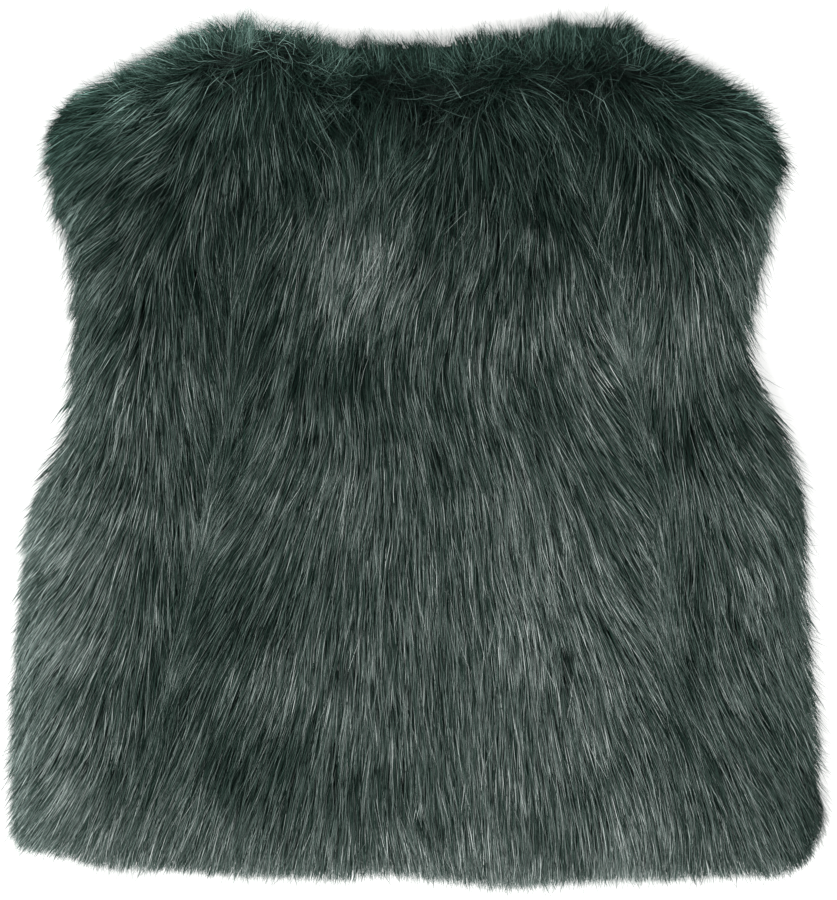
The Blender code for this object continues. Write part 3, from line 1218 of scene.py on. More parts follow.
@dataclass
class Stand:
    """Where a kind of hair stands on a panel, and how the pile is there.

    Attributes:
        roots: where the hairs start.
        wisps: the middle of each one's wisp.
        locks: the middle of each one's lock.
        shift: how far away each reads the nap, so that a lock can rest across its neighbours.
        ruffle: how far the pile is ruffled into locks, from 0 to 1.
        layered: how far its locks lie over one another, from 0 to 1.
        upright: how nearly it stands up, from 0 to 1.
        turned: how far it is turned up over the top edge, from 0 to 1.
    """

    roots: Array
    wisps: Array
    locks: Array
    shift: Array
    ruffle: Array
    layered: Array
    upright: Array
    turned: Array


@dataclass
class Growth:
    """Grows one kind of hair over one panel.

    Attributes:
        bed: the form that the hairs fill.
        nap: the way they lie.
        backing_height: where their roots stand.
        facing: 1 for the back, whose pile is up, and -1 for the fronts.
        seed: makes each panel's hairs its own.
    """

    bed: PileBed
    nap: Nap
    backing_height: float
    facing: float
    seed: int

    def soft(self, patches: Patches, points: Array) -> Array:
        """This panel's own soft random values at points."""
        return Noise(patches.size, self.seed + patches.draw)(points)

    def roots(self, inside: Inside, per_cm2: float, rng: np.random.Generator) -> Array:
        """Spreads roots evenly over a panel.

        Args:
            inside: tells which points lie on the panel's backing.
            per_cm2: how many stand on each square centimetre.
            rng: draws how far each root is from its even place.

        Returns:
            The roots, in table millimetres.
        """
        pitch = 10 / math.sqrt(per_cm2)
        xs, ys = np.arange(-262, 262, pitch), np.arange(-4, 548, pitch)
        across, height = np.meshgrid(xs, ys)
        across[1::2] += pitch / 2
        spots = np.stack([across.ravel(), height.ravel()], axis=1)
        spots += rng.uniform(-0.5, 0.5, spots.shape) * pitch
        return spots[inside(spots)]

    def walk(
        self, roots: Array, shift: Array, lengths: Array, turns: Array, curls: Array, segments: int
    ) -> Array:
        """Follows the nap.

        Args:
            roots: where the hairs start.
            shift: how far away each reads the nap.
            lengths: how far each runs along the surface.
            turns: how far each is turned from the nap at its root, in radians.
            curls: how much further it turns by its tip, in radians.
            segments: how many stretches it has.

        Returns:
            The points of each hair in the surface's plane.
        """
        path = [roots]
        shares = np.diff(np.linspace(0, 1, segments + 1) ** RUN_EASE)
        for k, share in enumerate(shares):
            heading = self.nap(path[-1] + shift)
            angle = turns + curls * (k + 0.5) / segments
            cos, sin = np.cos(angle), np.sin(angle)
            x = heading[:, 0] * cos - heading[:, 1] * sin
            y = heading[:, 0] * sin + heading[:, 1] * cos
            path.append(path[-1] + np.stack([x, y], axis=1) * (lengths * share)[:, None])
        return np.stack(path, axis=1)

    def stand(self, kind: HairKind, inside: Inside, rng: np.random.Generator) -> Stand:
        """Finds where a kind of hair stands.

        Args:
            kind: the hairs' kind.
            inside: tells which points lie on the panel's backing.
            rng: draws the roots' places, and which stand at the crest.

        Returns:
            The roots, and how the pile is there.
        """
        roots = self.roots(inside, kind.per_cm2, rng)
        below = CUT.top(roots[:, 0]) - roots[:, 1]
        above = roots[:, 1] - CUT.hem(roots[:, 0])
        at_crest = below < kind.crest * rng.random(len(roots)) ** CREST_THINNING
        roots = roots[(self.bed.inset(roots) < kind.rim) | (above < kind.hem) | at_crest]
        locks = self.middle_of(roots, LOCK_PITCH, LOCK_MIDDLES)
        layered = np.interp(roots[:, 1], LAYERED_HEIGHTS, (0, 1)) * (self.facing > 0)
        shift = PARTING_LOCKS * layered * np.clip(self.soft(LOCK_SHIFTS, locks), -1, 1)
        shift = np.stack([0 * shift, shift], axis=1)
        return Stand(
            roots=roots,
            wisps=self.middle_of(roots, WISP_PITCH, WISP_MIDDLES),
            locks=locks,
            shift=shift,
            ruffle=np.interp(roots[:, 1], RUFFLE_HEIGHTS, RUFFLE),
            layered=layered,
            upright=self.nap.upright(roots + shift),
            turned=self.nap.turned(roots + shift),
        )

    def lay(self, at: Stand, kind: HairKind, rng: np.random.Generator) -> Array:
        """Lays hairs along the nap, gathered into wisps and locks.

        Args:
            at: where they stand.
            kind: the hairs' kind.
            rng: draws how each differs from its neighbours.

        Returns:
            The points of each hair in the surface's plane.
        """
        count, segments = len(at.roots), kind.segments
        spread = 1 + kind.length_spread * rng.standard_normal(count).clip(-2, 2)
        longer = 1 + LOCK_SPREAD * self.soft(LOCK_LENGTHS, at.locks)
        shorter = (1 - PARTING_SHORT * at.upright, 1 - TURNED_SHORT * at.turned)
        runs = kind.length * spread * (longer * shorter[0] * shorter[1]) * RUN
        flow = FLOW * sum(much * self.soft(patches, at.roots) for much, patches in FLOW_WAVES)
        stray = kind.stray * rng.standard_normal(count) * (1 + LAYERED_STRAY * at.layered)
        turns = np.radians(stray + flow)
        turns += np.radians(PARTING_TURN) * at.upright * rng.standard_normal(count)
        curls = np.radians(kind.stray * HAIR_CURL * rng.standard_normal(count))
        curls += np.radians(PARTING_CURL) * at.upright * rng.standard_normal(count)
        lock_turns = np.radians(LOCK_TURN) * self.soft(LOCK_TURNS, at.locks)
        lock_turns *= at.ruffle + LAYERED_STRAY * at.layered + TURNED_TUFTS * at.turned
        wisp_turns = np.radians(kind.stray * WISP_STRAY * self.soft(WISP_TURNS, at.wisps) + flow)
        own_turns = turns + (LOCK_FOLLOW[0] + LOCK_FOLLOW[1] * at.turned) * lock_turns
        surface = self.walk(at.roots, at.shift, runs, own_turns, curls, segments)
        wisp = self.walk(at.wisps, at.shift, runs, wisp_turns, 0 * curls, segments)
        lock = self.walk(at.locks, at.shift, runs, lock_turns, 0 * curls, segments)
        share = np.linspace(0, 1, segments + 1)
        hold = kind.gather * (1 - UPRIGHT_LOOSE * at.upright)
        lock_hold = LOCK_GATHER * kind.gather * at.ruffle * (1 - at.upright)
        for middle, held, close in ((wisp, hold, WISP_CLOSE), (lock, lock_hold, LOCK_CLOSE)):
            pull = held[:, None, None] * (share**close)[None, :, None]
            surface = surface * (1 - pull) + middle * pull
        return surface

    def grow(self, kind: HairKind, inside: Inside) -> Strands:
        """Grows hairs over a panel.

        Args:
            kind: the hairs' kind.
            inside: tells which points lie on the panel's backing.

        Returns:
            The hairs.
        """
        rng = np.random.default_rng(self.seed * PANEL_STRIDE + list(Layer).index(kind.layer))
        at = self.stand(kind, inside, rng)
        count = len(at.roots)
        surface = self.kept_in(self.lay(at, kind, rng), kind, at.turned, rng)
        away = np.linalg.norm(at.roots - at.locks, axis=1) / LOCK_PITCH
        between_locks = np.clip((away - LOCK_HEART) / LOCK_BORDER, 0, 1) * at.ruffle
        sunk = LOCK_SINK * np.clip(self.soft(LOCK_LENGTHS, at.locks), 0, LOCK_SINK_LIMIT)
        reach = rng.uniform(*kind.reach, count) - sunk - LOCK_EDGE_SINK * between_locks
        share = np.linspace(0, 1, kind.segments + 1)
        heights = self.rise(surface, reach[:, None], share[None, :], at.layered[:, None], rng)
        slim = np.clip(SLIM * math.sqrt(kind.width) - SLIM_START, *SLIM_LIMITS)
        slim = slim * np.maximum(TURNED_SLIM * at.turned, UPRIGHT_SLIM * at.upright)
        widths = kind.width * rng.uniform(*WIDTHS, count) * (1 - slim)
        drift = np.stack([self.soft(patches, at.locks) for patches in LOCK_DRIFTS], axis=1)
        tones = self.shade(surface[:, -2] + LOCK_DRIFT * drift, at.wisps, kind, rng)
        own_lock = LOCK_SHADE * self.soft(LOCK_SHADES, at.locks) * at.ruffle
        # Each lock's own tone, less painted shade on the hairs between locks.
        tones += own_lock - LOCK_EDGE_PAINTED_SHADE * between_locks
        return Strands(
            paths=np.concatenate([surface, heights[..., None]], axis=2),
            widths=widths[:, None] * np.interp(share, TAPER_AT, TAPER)[None],
            tones=tones.clip(0, 1),
            teal=teal_of(surface[:, -2]) if self.facing > 0 else np.full(count, FRONT_TEAL),
            rolls=np.radians(kind.roll) * rng.standard_normal(count).clip(-2, 2),
            lift=np.maximum(at.upright, TURNED_LIFT * at.turned),
            facing=self.facing,
        )

    def middle_of(self, roots: Array, pitch: float, draw: int) -> Array:
        """The middle of the wisp or lock that each root belongs to.

        Args:
            roots: where the hairs start.
            pitch: how far apart the middles lie.
            draw: which draw of the middles is taken.

        Returns:
            A middle for each root.
        """
        cell = np.floor(roots / pitch).astype(int)
        rng = np.random.default_rng(self.seed + draw)
        drift = rng.uniform(-MIDDLE_DRIFT, MIDDLE_DRIFT, (MIDDLE_CELLS, MIDDLE_CELLS, 2))
        best = np.full(len(roots), np.inf)
        found = roots.copy()
        for dx in (-1, 0, 1):
            for dy in (-1, 0, 1):
                there = cell + (dx, dy)
                column, row = there[:, 0] % MIDDLE_CELLS, there[:, 1] % MIDDLE_CELLS
                middle = (there + 0.5 + drift[row, column]) * pitch
                apart = ((middle - roots) ** 2).sum(axis=1)
                closer = apart < best
                best[closer] = apart[closer]
                found[closer] = middle[closer]
        return found

    def kept_in(
        self, surface: Array, kind: HairKind, turned: Array, rng: np.random.Generator
    ) -> Array:
        """Draws hairs back that would pass the garment's edge by more than their own overhang.

        Args:
            surface: the hairs' points in the surface's plane.
            kind: the hairs' kind.
            turned: how far each is turned over the top edge, where broad hairs stay further back.
            rng: draws each hair's own overhang.

        Returns:
            The points, drawn towards the root where a hair was too long.
        """
        own = rng.beta(*OVERHANG_DRAW, len(surface)) * OVERHANG_GAIN
        allowed = kind.overhang * (1 - OVERHANG_TURNED * turned) * own - OVERHANG_BACK
        allowed -= kind.width * turned
        shortest = np.full(len(surface), SHORTEST / (1 + kind.width) / (kind.length * RUN))
        tips = self.drawn_back(surface, allowed, shortest)[:, -1]
        tufts = tufts_at(tips) * (self.facing > 0)
        waves = EDGE_WAVE * Noise(*EDGE_WAVES)(tips).clip(*WAVE_LIMITS)
        waves += EDGE_RIPPLE * Noise(*EDGE_RIPPLES)(tips).clip(*WAVE_LIMITS)
        waves *= np.interp(tips[:, 1], RUFFLE_HEIGHTS, RUFFLED_EDGE)
        shortest *= np.clip(1 + tufts / NOTCH, NOTCH_SHORT, 1)
        return self.drawn_back(surface, allowed + waves + tufts, shortest)

    def drawn_back(self, surface: Array, allowed: Array, shortest: Array) -> Array:
        """Shortens hairs until none passes the garment's outline by more than it may.

        Args:
            surface: the hairs' points in the surface's plane.
            allowed: how far past the outline each may reach.
            shortest: the least share of its length that each keeps.

        Returns:
            The points of the shortened hairs.
        """
        roots, run = surface[:, :1], surface - surface[:, :1]
        kept = np.ones(len(surface))
        for _ in range(DRAW_ROUNDS):
            drawn = roots + run * kept[:, None, None]
            past = np.clip(-self.bed.inset(drawn[:, -1]) - allowed, 0, None)
            reach = np.linalg.norm(drawn[:, -1] - drawn[:, 0], axis=1)
            kept = kept * np.clip(1 - past / np.maximum(reach, 1), DRAW_STEP, 1)
            kept = np.maximum(kept, shortest)
        return roots + run * kept[:, None, None]

    def rise(
        self, surface: Array, reach: Array, share: Array, layered: Array, rng: np.random.Generator
    ) -> Array:
        """Raises hairs from the backing, and then along under the pile's top.

        Args:
            surface: the hairs' points in the surface's plane.
            reach: how high each stands, as a share of the pile's height.
            share: how far along a hair each point lies.
            layered: how far the locks' tips alone reach the top of the pile, from 0 to 1.
            rng: draws how the tips lift.

        Returns:
            The heights in millimetres.
        """
        goal = (self.bed.top if self.facing > 0 else self.bed.bottom)(surface)
        if self.facing < 0:
            goal = np.maximum(goal, LOWEST_PRESSED)
        climb = 1 - (1 - share) ** (CLIMB - CLIMB_LAYERED * layered)
        target = self.backing_height + (goal - self.backing_height) * reach
        heights = self.backing_height + (target - self.backing_height) * climb
        if self.facing < 0:
            return heights
        flick = TIP_FLICK * rng.standard_normal(len(surface))[:, None] * share**3
        return np.maximum(heights + flick, LOWEST_TIP)

    def shade(self, spots: Array, wisps: Array, kind: HairKind, rng: np.random.Generator) -> Array:
        """Works out each hair's shade: its own, its wisp's, and the painted sheen and shade where
        it shows.

        Args:
            spots: where the hairs show.
            wisps: the middle of each one's wisp.
            kind: the hairs' kind.
            rng: draws each hair's own shade.

        Returns:
            The shades, from about 0 to 1.
        """
        own = rng.beta(*SHADE_DRAW, len(spots))
        wisp = WISP_SHADE * self.soft(WISP_SHADES, wisps)
        broad = sum(much * self.soft(patches, spots) for much, patches in BROAD_SHADES)
        low, high = kind.tone
        # The back's painted sheen and shade, as much of it as this kind takes.
        painted_light = painted_light_of(spots) * kind.painted_light if self.facing > 0 else 0.0
        return low + (high - low) * own + wisp + broad + painted_light


class Socket(NamedTuple):
    """One end of a link: a node and the name or number of its socket."""

    node: Any
    name: Any


def add_node(tree: Any, kind: str, settings: dict[str, Any], links: dict[Any, Socket]) -> Any:
    """Adds a node to a material.

    Args:
        tree: the material's node tree.
        kind: the node's type.
        settings: properties by name, and input values by their socket's name or number.
        links: what feeds each input, by its name or number.

    Returns:
        The node.
    """
    made = tree.nodes.new(kind)
    for name, value in settings.items():
        if isinstance(name, str) and hasattr(made, name):
            setattr(made, name, value)
        else:
            made.inputs[name].default_value = value
    for name, source in links.items():
        tree.links.new(source.node.outputs[source.name], made.inputs[name])
    return made


class Stop(NamedTuple):
    """One colour of a ramp."""

    place: float
    colour: str


def blank_material(name: str) -> tuple[bpy.types.Material, Any, Any]:
    """Makes a material with a shader and an output.

    Args:
        name: the material's name.

    Returns:
        The material, its node tree and its shader.
    """
    material = bpy.data.materials.new(name)
    material.use_nodes = True
    return material, material.node_tree, material.node_tree.nodes["Principled BSDF"]


def set_ramp(ramp: Any, stops: tuple[Stop, ...]) -> None:
    """Puts colours on a ramp node.

    Args:
        ramp: the node.
        stops: its colours, in order.
    """
    elements = ramp.color_ramp.elements
    while len(elements) < len(stops):
        elements.new(1.0)
    for element, stop in zip(elements, stops):
        element.position = stop.place
        element.color = linear(stop.colour)


def set_surface(shader: Any, roughness: float, ior: float, specular: float) -> None:
    """Sets how a material shines.

    Args:
        shader: its shader.
        roughness: how dull it is.
        ior: its index of refraction.
        specular: how much of its gloss shows.
    """
    shader.inputs["Roughness"].default_value = roughness
    shader.inputs["IOR"].default_value = ior
    shader.inputs["Specular IOR Level"].default_value = specular


# Modacrylic fibre, extruded and drawn with a dulled finish, dyed in the mass with some undyed tow.
# The eye gets fine soft streaks from near black green to pale grey green, with little gloss.
@dataclass(frozen=True)
class ModacrylicHair:
    """The finish of the pile's hair.

    Attributes:
        name: the material's name.
        shades: its colours, from the darkest shade to the lightest.
        teal: what its colour is multiplied by where light comes through it.
        root: the painted shade at the root, where no light reaches.
        root_share: how far along a hair that painted shade fades.
        roughness: how dull it is.
        ior: the fibre's index of refraction.
        specular: how much of its gloss shows.
        fibre_width: how wide a fibre is drawn.
        wisp_width: how wide the wisp is that they are drawn on.
        glints: how often a fibre's streak changes along a hair.
        apart: how far apart two hairs lie in the pattern of streaks at most.
        streaks: how dark and how light the streaks are: a fibre's own tone and painted glints.
        round_light: how light a wisp is in its middle, and at its sides.
    """

    name: str = "modacrylic_hair"
    shades: tuple[Stop, ...] = (
        Stop(0.0, "#04120e"),
        Stop(0.2, "#10251e"),
        Stop(0.42, "#32423c"),
        Stop(0.66, "#5d6965"),
        Stop(0.86, "#828c88"),
        Stop(1.0, "#a6aeab"),
    )
    teal: tuple[float, float, float] = (0.68, 1.04, 0.95)
    root: str = "#040a08"
    root_share: float = 0.75
    roughness: float = 0.5
    ior: float = 1.51
    specular: float = 0.1
    fibre_width: float = 0.4
    wisp_width: float = 1.6
    glints: float = 8.0
    apart: float = 400.0
    streaks: tuple[float, float] = (0.48, 1.4)
    round_light: tuple[float, float] = (1.4, 0.22)

    def build(self) -> bpy.types.Material:
        """Makes the material.

        Returns:
            The material.
        """
        material, tree, shader = blank_material(self.name)
        tone, along, across, hair, teal = (
            add_node(tree, "ShaderNodeAttribute", {"attribute_name": name}, {})
            for name in ("tone", "along", "across", "hair", "teal")
        )
        ramp = add_node(tree, "ShaderNodeValToRGB", {}, {"Fac": Socket(tone, "Fac")})
        set_ramp(ramp, self.shades)
        # A fibre is about 0.1 mm wide. It is drawn four times coarser, so that it shows.
        fibres = self.wisp_width / self.fibre_width
        axes = {"X": Socket(across, "Fac"), "Y": Socket(along, "Fac"), "Z": Socket(hair, "Fac")}
        place = add_node(tree, "ShaderNodeCombineXYZ", {}, axes)
        # Its own number moves each hair to a stretch of the pattern that no other shows.
        scale = {"operation": "MULTIPLY", 1: (fibres / 2, self.glints, self.apart)}
        spread = add_node(tree, "ShaderNodeVectorMath", scale, {0: Socket(place, "Vector")})
        grain = {"Scale": 1.0, "Detail": 2.0, "Roughness": 0.6}
        streak = add_node(tree, "ShaderNodeTexNoise", grain, {"Vector": Socket(spread, "Vector")})
        # A streak is partly a fibre's own tone, and partly a painted glint along it.
        low, high = self.streaks
        ends = {"From Min": 0.3, "From Max": 0.7, "To Min": low, "To Max": high}
        gain = add_node(tree, "ShaderNodeMapRange", ends, {"Value": Socket(streak, "Fac")})
        # A wisp is round, so its sides fall into the shade of the next ones.
        multiply = {"operation": "MULTIPLY"}
        sides = {0: Socket(across, "Fac"), 1: Socket(across, "Fac")}
        square = add_node(tree, "ShaderNodeMath", multiply, sides)
        middle, side = self.round_light
        ends = {"From Min": 0.0, "From Max": 1.0, "To Min": middle, "To Max": side}
        rounded = add_node(tree, "ShaderNodeMapRange", ends, {"Value": Socket(square, "Value")})
        lights = {0: Socket(gain, "Result"), 1: Socket(rounded, "Result")}
        light = add_node(tree, "ShaderNodeMath", multiply, lights)
        # Painted shade darkens each hair towards its root, less where light reaches down it.
        ends = {"From Min": 0.05, "From Max": self.root_share, "To Min": 0.0, "To Max": 1.0}
        depth = add_node(tree, "ShaderNodeMapRange", ends, {"Value": Socket(along, "Fac")})
        # Painted light through the hair makes it greener, as far as its teal value goes.
        green = {"operation": "MULTIPLY", 1: self.teal}
        greener = add_node(tree, "ShaderNodeVectorMath", green, {0: Socket(ramp, "Color")})
        painted_teal_inputs = {0: Socket(teal, "Fac"), 6: Socket(ramp, "Color"), 7: Socket(greener, "Vector")}
        painted_teal = add_node(tree, "ShaderNodeMix", {"data_type": "RGBA"}, painted_teal_inputs)
        lit = {0: Socket(painted_teal, 2), "Scale": Socket(light, "Value")}
        fibre = add_node(tree, "ShaderNodeVectorMath", {"operation": "SCALE"}, lit)
        root = {"data_type": "RGBA", 6: linear(self.root)}
        depths = {0: Socket(depth, "Result"), 7: Socket(fibre, "Vector")}
        colour = add_node(tree, "ShaderNodeMix", root, depths)
        tree.links.new(colour.outputs[2], shader.inputs["Base Color"])
        # The delustrant in the fibre and the pile's own shade leave little of its gloss.
        set_surface(shader, self.roughness, self.ior, self.specular)
        return material


# Polyester tricot, warp knitted and brushed with latex to lock the pile's roots.
# The eye gets dull, nearly black cloth with fine upright ribs, seen only between hairs.
@dataclass(frozen=True)
class TricotBacking:
    """The finish of the knitted backing.

    Attributes:
        name: the material's name.
        dark: its colour between the ribs.
        light: its colour on them.
        wale: how far apart the ribs lie, in millimetres.
        rib: how high they stand, in metres.
        roughness: how dull it is.
        ior: the fibre's index of refraction.
        specular: how much of its gloss shows.
    """

    name: str = "tricot_backing"
    dark: str = "#0b1311"
    light: str = "#1a2421"
    wale: float = 1.1
    rib: float = 0.0003
    roughness: float = 0.9
    ior: float = 1.55
    specular: float = 0.1

    def build(self) -> bpy.types.Material:
        """Makes the material.

        Returns:
            The material.
        """
        material, tree, shader = blank_material(self.name)
        spot = add_node(tree, "ShaderNodeTexCoord", {}, {})
        # A wave node's bands are 2 pi apart over 20 at a scale of 1, in metres here.
        scale = math.tau / 20 / (self.wale * MM)
        bands = {"wave_type": "BANDS", "Scale": scale, "Distortion": 1.2, "Detail": 2.0}
        ribs = add_node(tree, "ShaderNodeTexWave", bands, {"Vector": Socket(spot, "Object")})
        ramp = add_node(tree, "ShaderNodeValToRGB", {}, {"Fac": Socket(ribs, "Fac")})
        set_ramp(ramp, (Stop(0.1, self.dark), Stop(0.9, self.light)))
        relief = {"Strength": 0.5, "Distance": self.rib}
        bump = add_node(tree, "ShaderNodeBump", relief, {"Height": Socket(ribs, "Fac")})
        tree.links.new(ramp.outputs["Color"], shader.inputs["Base Color"])
        tree.links.new(bump.outputs["Normal"], shader.inputs["Normal"])
        # Its brushed face scatters what light reaches it between the hairs.
        set_surface(shader, self.roughness, self.ior, self.specular)
        return material


# Uncoated seamless paper, calendered flat. The eye gets an even, shadowless white.
@dataclass(frozen=True)
class SeamlessPaper:
    """The finish of the floor.

    Attributes:
        name: the material's name.
        colour: the paper's colour.
        roughness: how dull it is.
    """

    name: str = "seamless_paper"
    colour: str = "#f8f8f7"
    roughness: float = 0.95

    def build(self) -> bpy.types.Material:
        """Makes the material.

        Returns:
            The material.
        """
        material, _, shader = blank_material(self.name)
        shader.inputs["Base Color"].default_value = linear(self.colour)
        shader.inputs["Roughness"].default_value = self.roughness
        return material


@dataclass
class Backing:
    """The knitted backing of one panel: a thin closed shell, cut short of the fur's outline.

    Attributes:
        name: the piece's name.
        node: the solid that it stands for.
        left: the panel's left edge at heights.
        right: its right edge at heights.
        top: its upper edge at places across.
        base: the height of its underside.
        thickness: the cloth's thickness.
        swell: how much of the pile's relief the cloth follows.
        relief: the height that this relief is taken from, and how far it goes up and down.
        hem_inset: how far the fur hangs past the cloth at the hem.
        columns: how many stretches the mesh has across.
        rows: how many it has from hem to neck.
    """

    name: str
    node: str
    left: Edge
    right: Edge
    top: Edge
    base: float
    thickness: float = 1.8
    swell: float = 0.06
    relief: tuple[float, float] = (36.0, 12.0)
    hem_inset: float = 24.0
    columns: int = 24
    rows: int = 60

    def grid(self) -> Array:
        """Spreads points between the cloth's edges.

        Returns:
            The points, by height and then across.
        """
        u = np.linspace(0, 1, self.columns + 1)[None, :]
        v = np.linspace(0, 1, self.rows + 1)[:, None]
        # Each edge depends on the other coordinate, so both are found in rounds from a first guess.
        height = 40 + 440 * v + 0 * u
        for _ in range(12):
            across = self.left(height) * (1 - u) + self.right(height) * u
            low, high = CUT.hem(across) + self.hem_inset, self.top(across)
            height = low * (1 - v) + high * v
        return np.stack([across, height], axis=2)

    def holds(self, spots: Array) -> Array:
        """Tells which points lie on the cloth.

        Args:
            spots: the points, a row each.

        Returns:
            Whether each lies on it.
        """
        across, height = spots[:, 0], spots[:, 1]
        beside = (across > self.left(height)) & (across < self.right(height))
        return beside & (height > CUT.hem(across) + self.hem_inset) & (height < self.top(across))

    def build(self, bed: PileBed) -> bpy.types.Object:
        """Builds the shell.

        Args:
            bed: the pile's form, which the cloth follows a little.

        Returns:
            The mesh object.
        """
        grid = self.grid()
        rows, columns = grid.shape[:2]
        level, most = self.relief
        lift = self.swell * np.clip(bed.top(grid) - level, -most, most) + self.swell * most
        low = np.concatenate([grid, (self.base + lift)[..., None]], axis=2).reshape(-1, 3)
        high = low + (0, 0, self.thickness)
        number = np.arange(rows * columns).reshape(rows, columns)
        over = len(low)
        a, b, c, d = number[:-1, :-1], number[:-1, 1:], number[1:, 1:], number[1:, :-1]
        upper = np.stack([a + over, b + over, c + over, d + over], axis=2).reshape(-1, 4)
        under = np.stack([a, d, c, b], axis=2).reshape(-1, 4)
        rim = np.concatenate([number[0, :-1], number[:-1, -1], number[-1, :0:-1], number[:0:-1, 0]])
        after = np.roll(rim, -1)
        around = np.stack([rim, after, after + over, rim + over], axis=1)
        corners = np.vstack([upper, under, around])
        spots = to_frame(np.vstack([low, high]))
        made = mesh_object(self.name, spots, corners.ravel(), np.full(len(corners), 4, np.int32))
        made.data.set_sharp_from_angle(angle=math.radians(40))
        return made

    def cut_size(self) -> tuple[float, float, float]:
        """Measures the cloth as cut.

        Returns:
            Its width and length in metres, and its area in square metres.
        """
        grid = self.grid() * MM
        size = grid.reshape(-1, 2).max(axis=0) - grid.reshape(-1, 2).min(axis=0)
        across, up = np.diff(grid, axis=1)[:-1], np.diff(grid, axis=0)[:, :-1]
        area = np.abs(across[..., 0] * up[..., 1] - across[..., 1] * up[..., 0]).sum()
        return float(size[0]), float(size[1]), float(area)


@dataclass
class Panel:
    """One panel of the vest: its backing and the kinds of hair that stand in it.

    Attributes:
        backing: its knitted cloth.
        kinds: its hairs.
        nap: the way they lie.
        facing: 1 where its pile is up, and -1 where it is down.
        slot: the record's material slot; not used.
        rests_on: what the panel lies on; not used.
        seed: makes its hairs its own.
    """

    backing: Backing
    kinds: tuple[HairKind, ...]
    nap: Nap
    facing: float
    slot: str
    rests_on: tuple[str, ...]
    seed: int

    def build(
        self, bed: PileBed, hair: bpy.types.Material, knit: bpy.types.Material
    ) -> list[bpy.types.Object]:
        """Builds and dresses the panel.

        Args:
            bed: the form that the hairs fill.
            hair: the hairs' material.
            knit: the backing's material.

        Returns:
            The backing, and then a piece for each kind of hair.
        """
        cloth = self.backing.build(bed)
        cloth.data.materials.append(knit)
        roots_at = self.backing.base + (self.backing.thickness if self.facing > 0 else 0.4)
        growth = Growth(bed, self.nap, roots_at, self.facing, self.seed)
        pieces = [cloth]
        for kind in self.kinds:
            strands = growth.grow(kind, self.backing.holds)
            made = strands.mesh(f"{self.backing.node}_{kind.layer.value}")
            made.data.materials.append(hair)
            pieces.append(made)
        for piece in pieces:
            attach(piece, "root")
            LOG.info("%s: %d faces", piece.name, len(piece.data.polygons))
        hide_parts(self.backing.node)
        return pieces


@dataclass(frozen=True)
class CutEdge:
    """An edge of a cut piece: the lowest of some lines, moved by a distance.

    Attributes:
        lines: the lines that it follows.
        move: how far it lies from them, towards +X or the neck.
    """

    lines: tuple[Edge, ...]
    move: float

    def __call__(self, places: Array) -> Array:
        """The edge at places."""
        return np.min([line(places) for line in self.lines], axis=0) + self.move


@dataclass
class Vest:
    """The whole garment.

    Attributes:
        side_inset: how far the fur hangs past the cloth at the sides and armholes.
        top_inset: how far it stands past the cloth at the shoulders and the back neck.
        opening: the gap between the fronts.
        opening_overhang: how far their pile stands past the cloth there.
        seam_gap: the gap between two cloths at a back seam.
        back_swell: how much of the pile's relief the back's cloth follows.
        back_base: the underside of the back's cloth.
        front_base: the underside of the fronts' cloth.
    """

    side_inset: float = 14.0
    top_inset: float = 6.0
    opening: float = 3.0
    opening_overhang: float = 4.0
    seam_gap: float = 0.3
    back_swell: float = 0.06
    back_base: float = 14.4
    front_base: float = 12.0

    def backings(self) -> dict[str, Backing]:
        """Lays out the five cut pieces.

        Returns:
            Each piece's cloth, by the solid that it stands for.
        """
        half, opening = self.seam_gap / 2, self.opening / 2 + self.opening_overhang
        left, right = CutEdge((CUT.left,), self.side_inset), CutEdge((CUT.right,), -self.side_inset)
        top = CutEdge((CUT.top,), -self.top_inset)
        front_top = CutEdge((CUT.top, CUT.front_neck), -self.top_inset)
        edges = {
            "back_centre": (CutEdge((CUT.seam_l,), half), CutEdge((CUT.seam_r,), -half), top),
            "back_side_left": (left, CutEdge((CUT.seam_l,), -half), top),
            "back_side_right": (CutEdge((CUT.seam_r,), half), right, top),
            "front_left": (left, CutEdge((CUT.middle,), -opening), front_top),
            "front_right": (CutEdge((CUT.middle,), opening), right, front_top),
        }
        made = {}
        for node, sides in edges.items():
            back = node.startswith("back")
            base, swell = (self.back_base, self.back_swell) if back else (self.front_base, 0.0)
            made[node] = Backing(f"{node}_backing", node, *sides, base, swell=swell)
        return made

    def build(self) -> None:
        """Builds every panel and logs its cloth's cut size."""
        bed = PileBed()
        LOG.info("read the solids' form")
        hair, knit = ModacrylicHair().build(), TricotBacking().build()
        back_nap, front_nap = BackNap(), FrontNap()
        kinds, floor = (UNDERCOAT, GUARD, AWN, FRINGE), ("seamless_floor",)
        fronts = ("front_left_backing", "front_right_backing")
        for seed, (node, backing) in enumerate(self.backings().items()):
            if node.startswith("back"):
                panel = Panel(backing, kinds, back_nap, 1.0, "fur_pile", fronts, seed)
            else:
                panel = Panel(backing, (PRESSED,), front_nap, -1.0, "pressed_pile", floor, seed)
            pieces = panel.build(bed, hair, knit)
            width, length, area = backing.cut_size()
            LOG.info("%s: cut %.3f by %.3f m, %.4f square metres", node, width, length, area)


class LightSpec(NamedTuple):
    """One soft light: where it stands, how wide it is and how strong."""

    name: str
    place: tuple[float, float, float]
    width: float
    watts: float


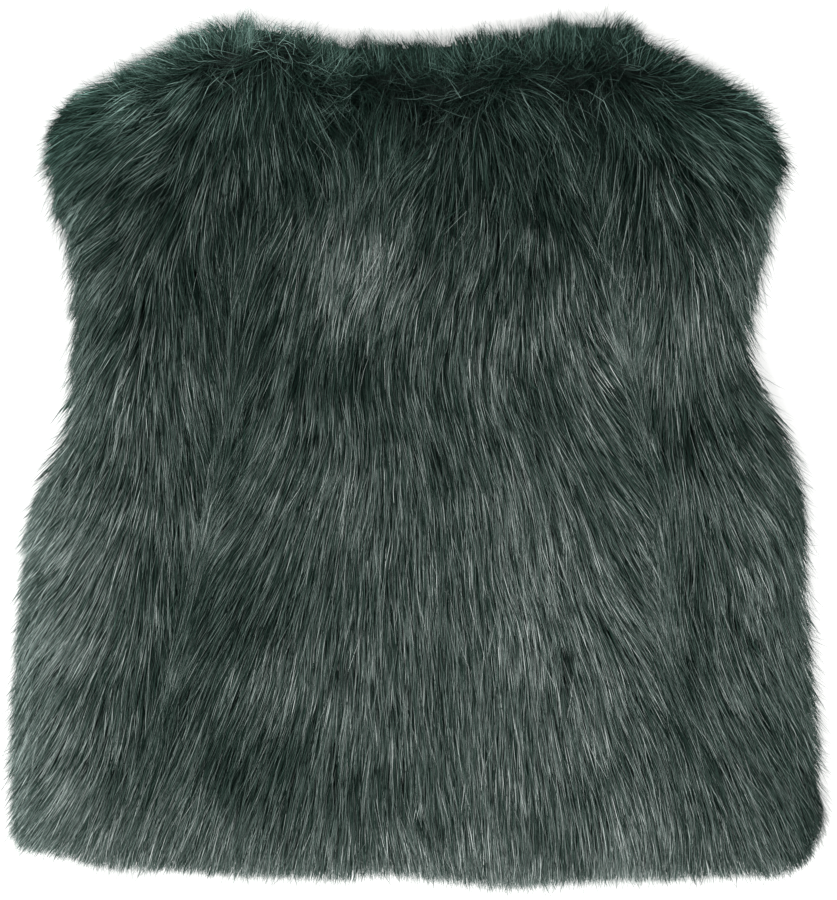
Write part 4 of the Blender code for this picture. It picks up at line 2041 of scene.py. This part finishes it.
@dataclass
class Studio:
    """The floor, the lights and the camera.

    Attributes:
        distance: the camera's height over the fur's edge.
        lens: its focal length in millimetres.
        aim: the point that it looks straight down on.
        edge: the height of the fur's edge.
        ambient: how strong the even light is.
        lights: the softboxes.
        floor: how far the floor reaches each way.
    """

    distance: float = 1.5625
    lens: float = 100.0
    aim: tuple[float, float] = (0.0020, 0.0021)
    edge: float = 0.017
    ambient: float = 1.25
    lights: tuple[LightSpec, ...] = (
        LightSpec("key_softbox", (-0.7, -0.9, 1.7), 1.0, 26.0),
        LightSpec("fill_softbox", (0.9, -0.3, 1.8), 1.2, 9.0),
    )
    floor: float = 3.0

    def build(self) -> None:
        """Sets the studio up."""
        self.lay_floor()
        self.set_lights()
        self.set_camera()

    def lay_floor(self) -> None:
        """Lays a plain white floor."""
        ways = ((-1, -1, 0), (1, -1, 0), (1, 1, 0), (-1, 1, 0))
        spots = self.floor * np.array(ways)
        floor = mesh_object("seamless_floor", spots, np.arange(4), np.array([4], np.int32))
        floor.data.materials.append(SeamlessPaper().build())

    def set_lights(self) -> None:
        """Hangs the softboxes, with an even light all round."""
        for spec in self.lights:
            lamp = bpy.data.lights.new(spec.name, "AREA")
            lamp.energy = spec.watts
            lamp.size = spec.width
            made = bpy.data.objects.new(spec.name, lamp)
            made.location = spec.place
            made.rotation_euler = (-Vector(spec.place)).to_track_quat("-Z", "Y").to_euler()
            bpy.context.scene.collection.objects.link(made)
        world = bpy.data.worlds.new("even_light")
        world.use_nodes = True
        backdrop = world.node_tree.nodes["Background"]
        backdrop.inputs["Color"].default_value = (1.0, 1.0, 1.0, 1.0)
        backdrop.inputs["Strength"].default_value = self.ambient
        bpy.context.scene.world = world

    def set_camera(self) -> None:
        """Hangs the camera over the garment, looking straight down."""
        lens = bpy.data.cameras.new("copy_camera")
        lens.lens = self.lens
        lens.clip_end = 20.0
        camera = bpy.data.objects.new("copy_camera", lens)
        camera.location = (*self.aim, self.edge + self.distance)
        bpy.context.scene.collection.objects.link(camera)
        bpy.context.scene.camera = camera
        bpy.context.scene.view_settings.view_transform = "Standard"


def main() -> None:
    """Builds the vest and its studio."""
    logging.basicConfig(level=logging.INFO, format="%(message)s")
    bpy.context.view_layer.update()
    Vest().build()
    Studio().build()


if __name__ == "__main__":
    main()
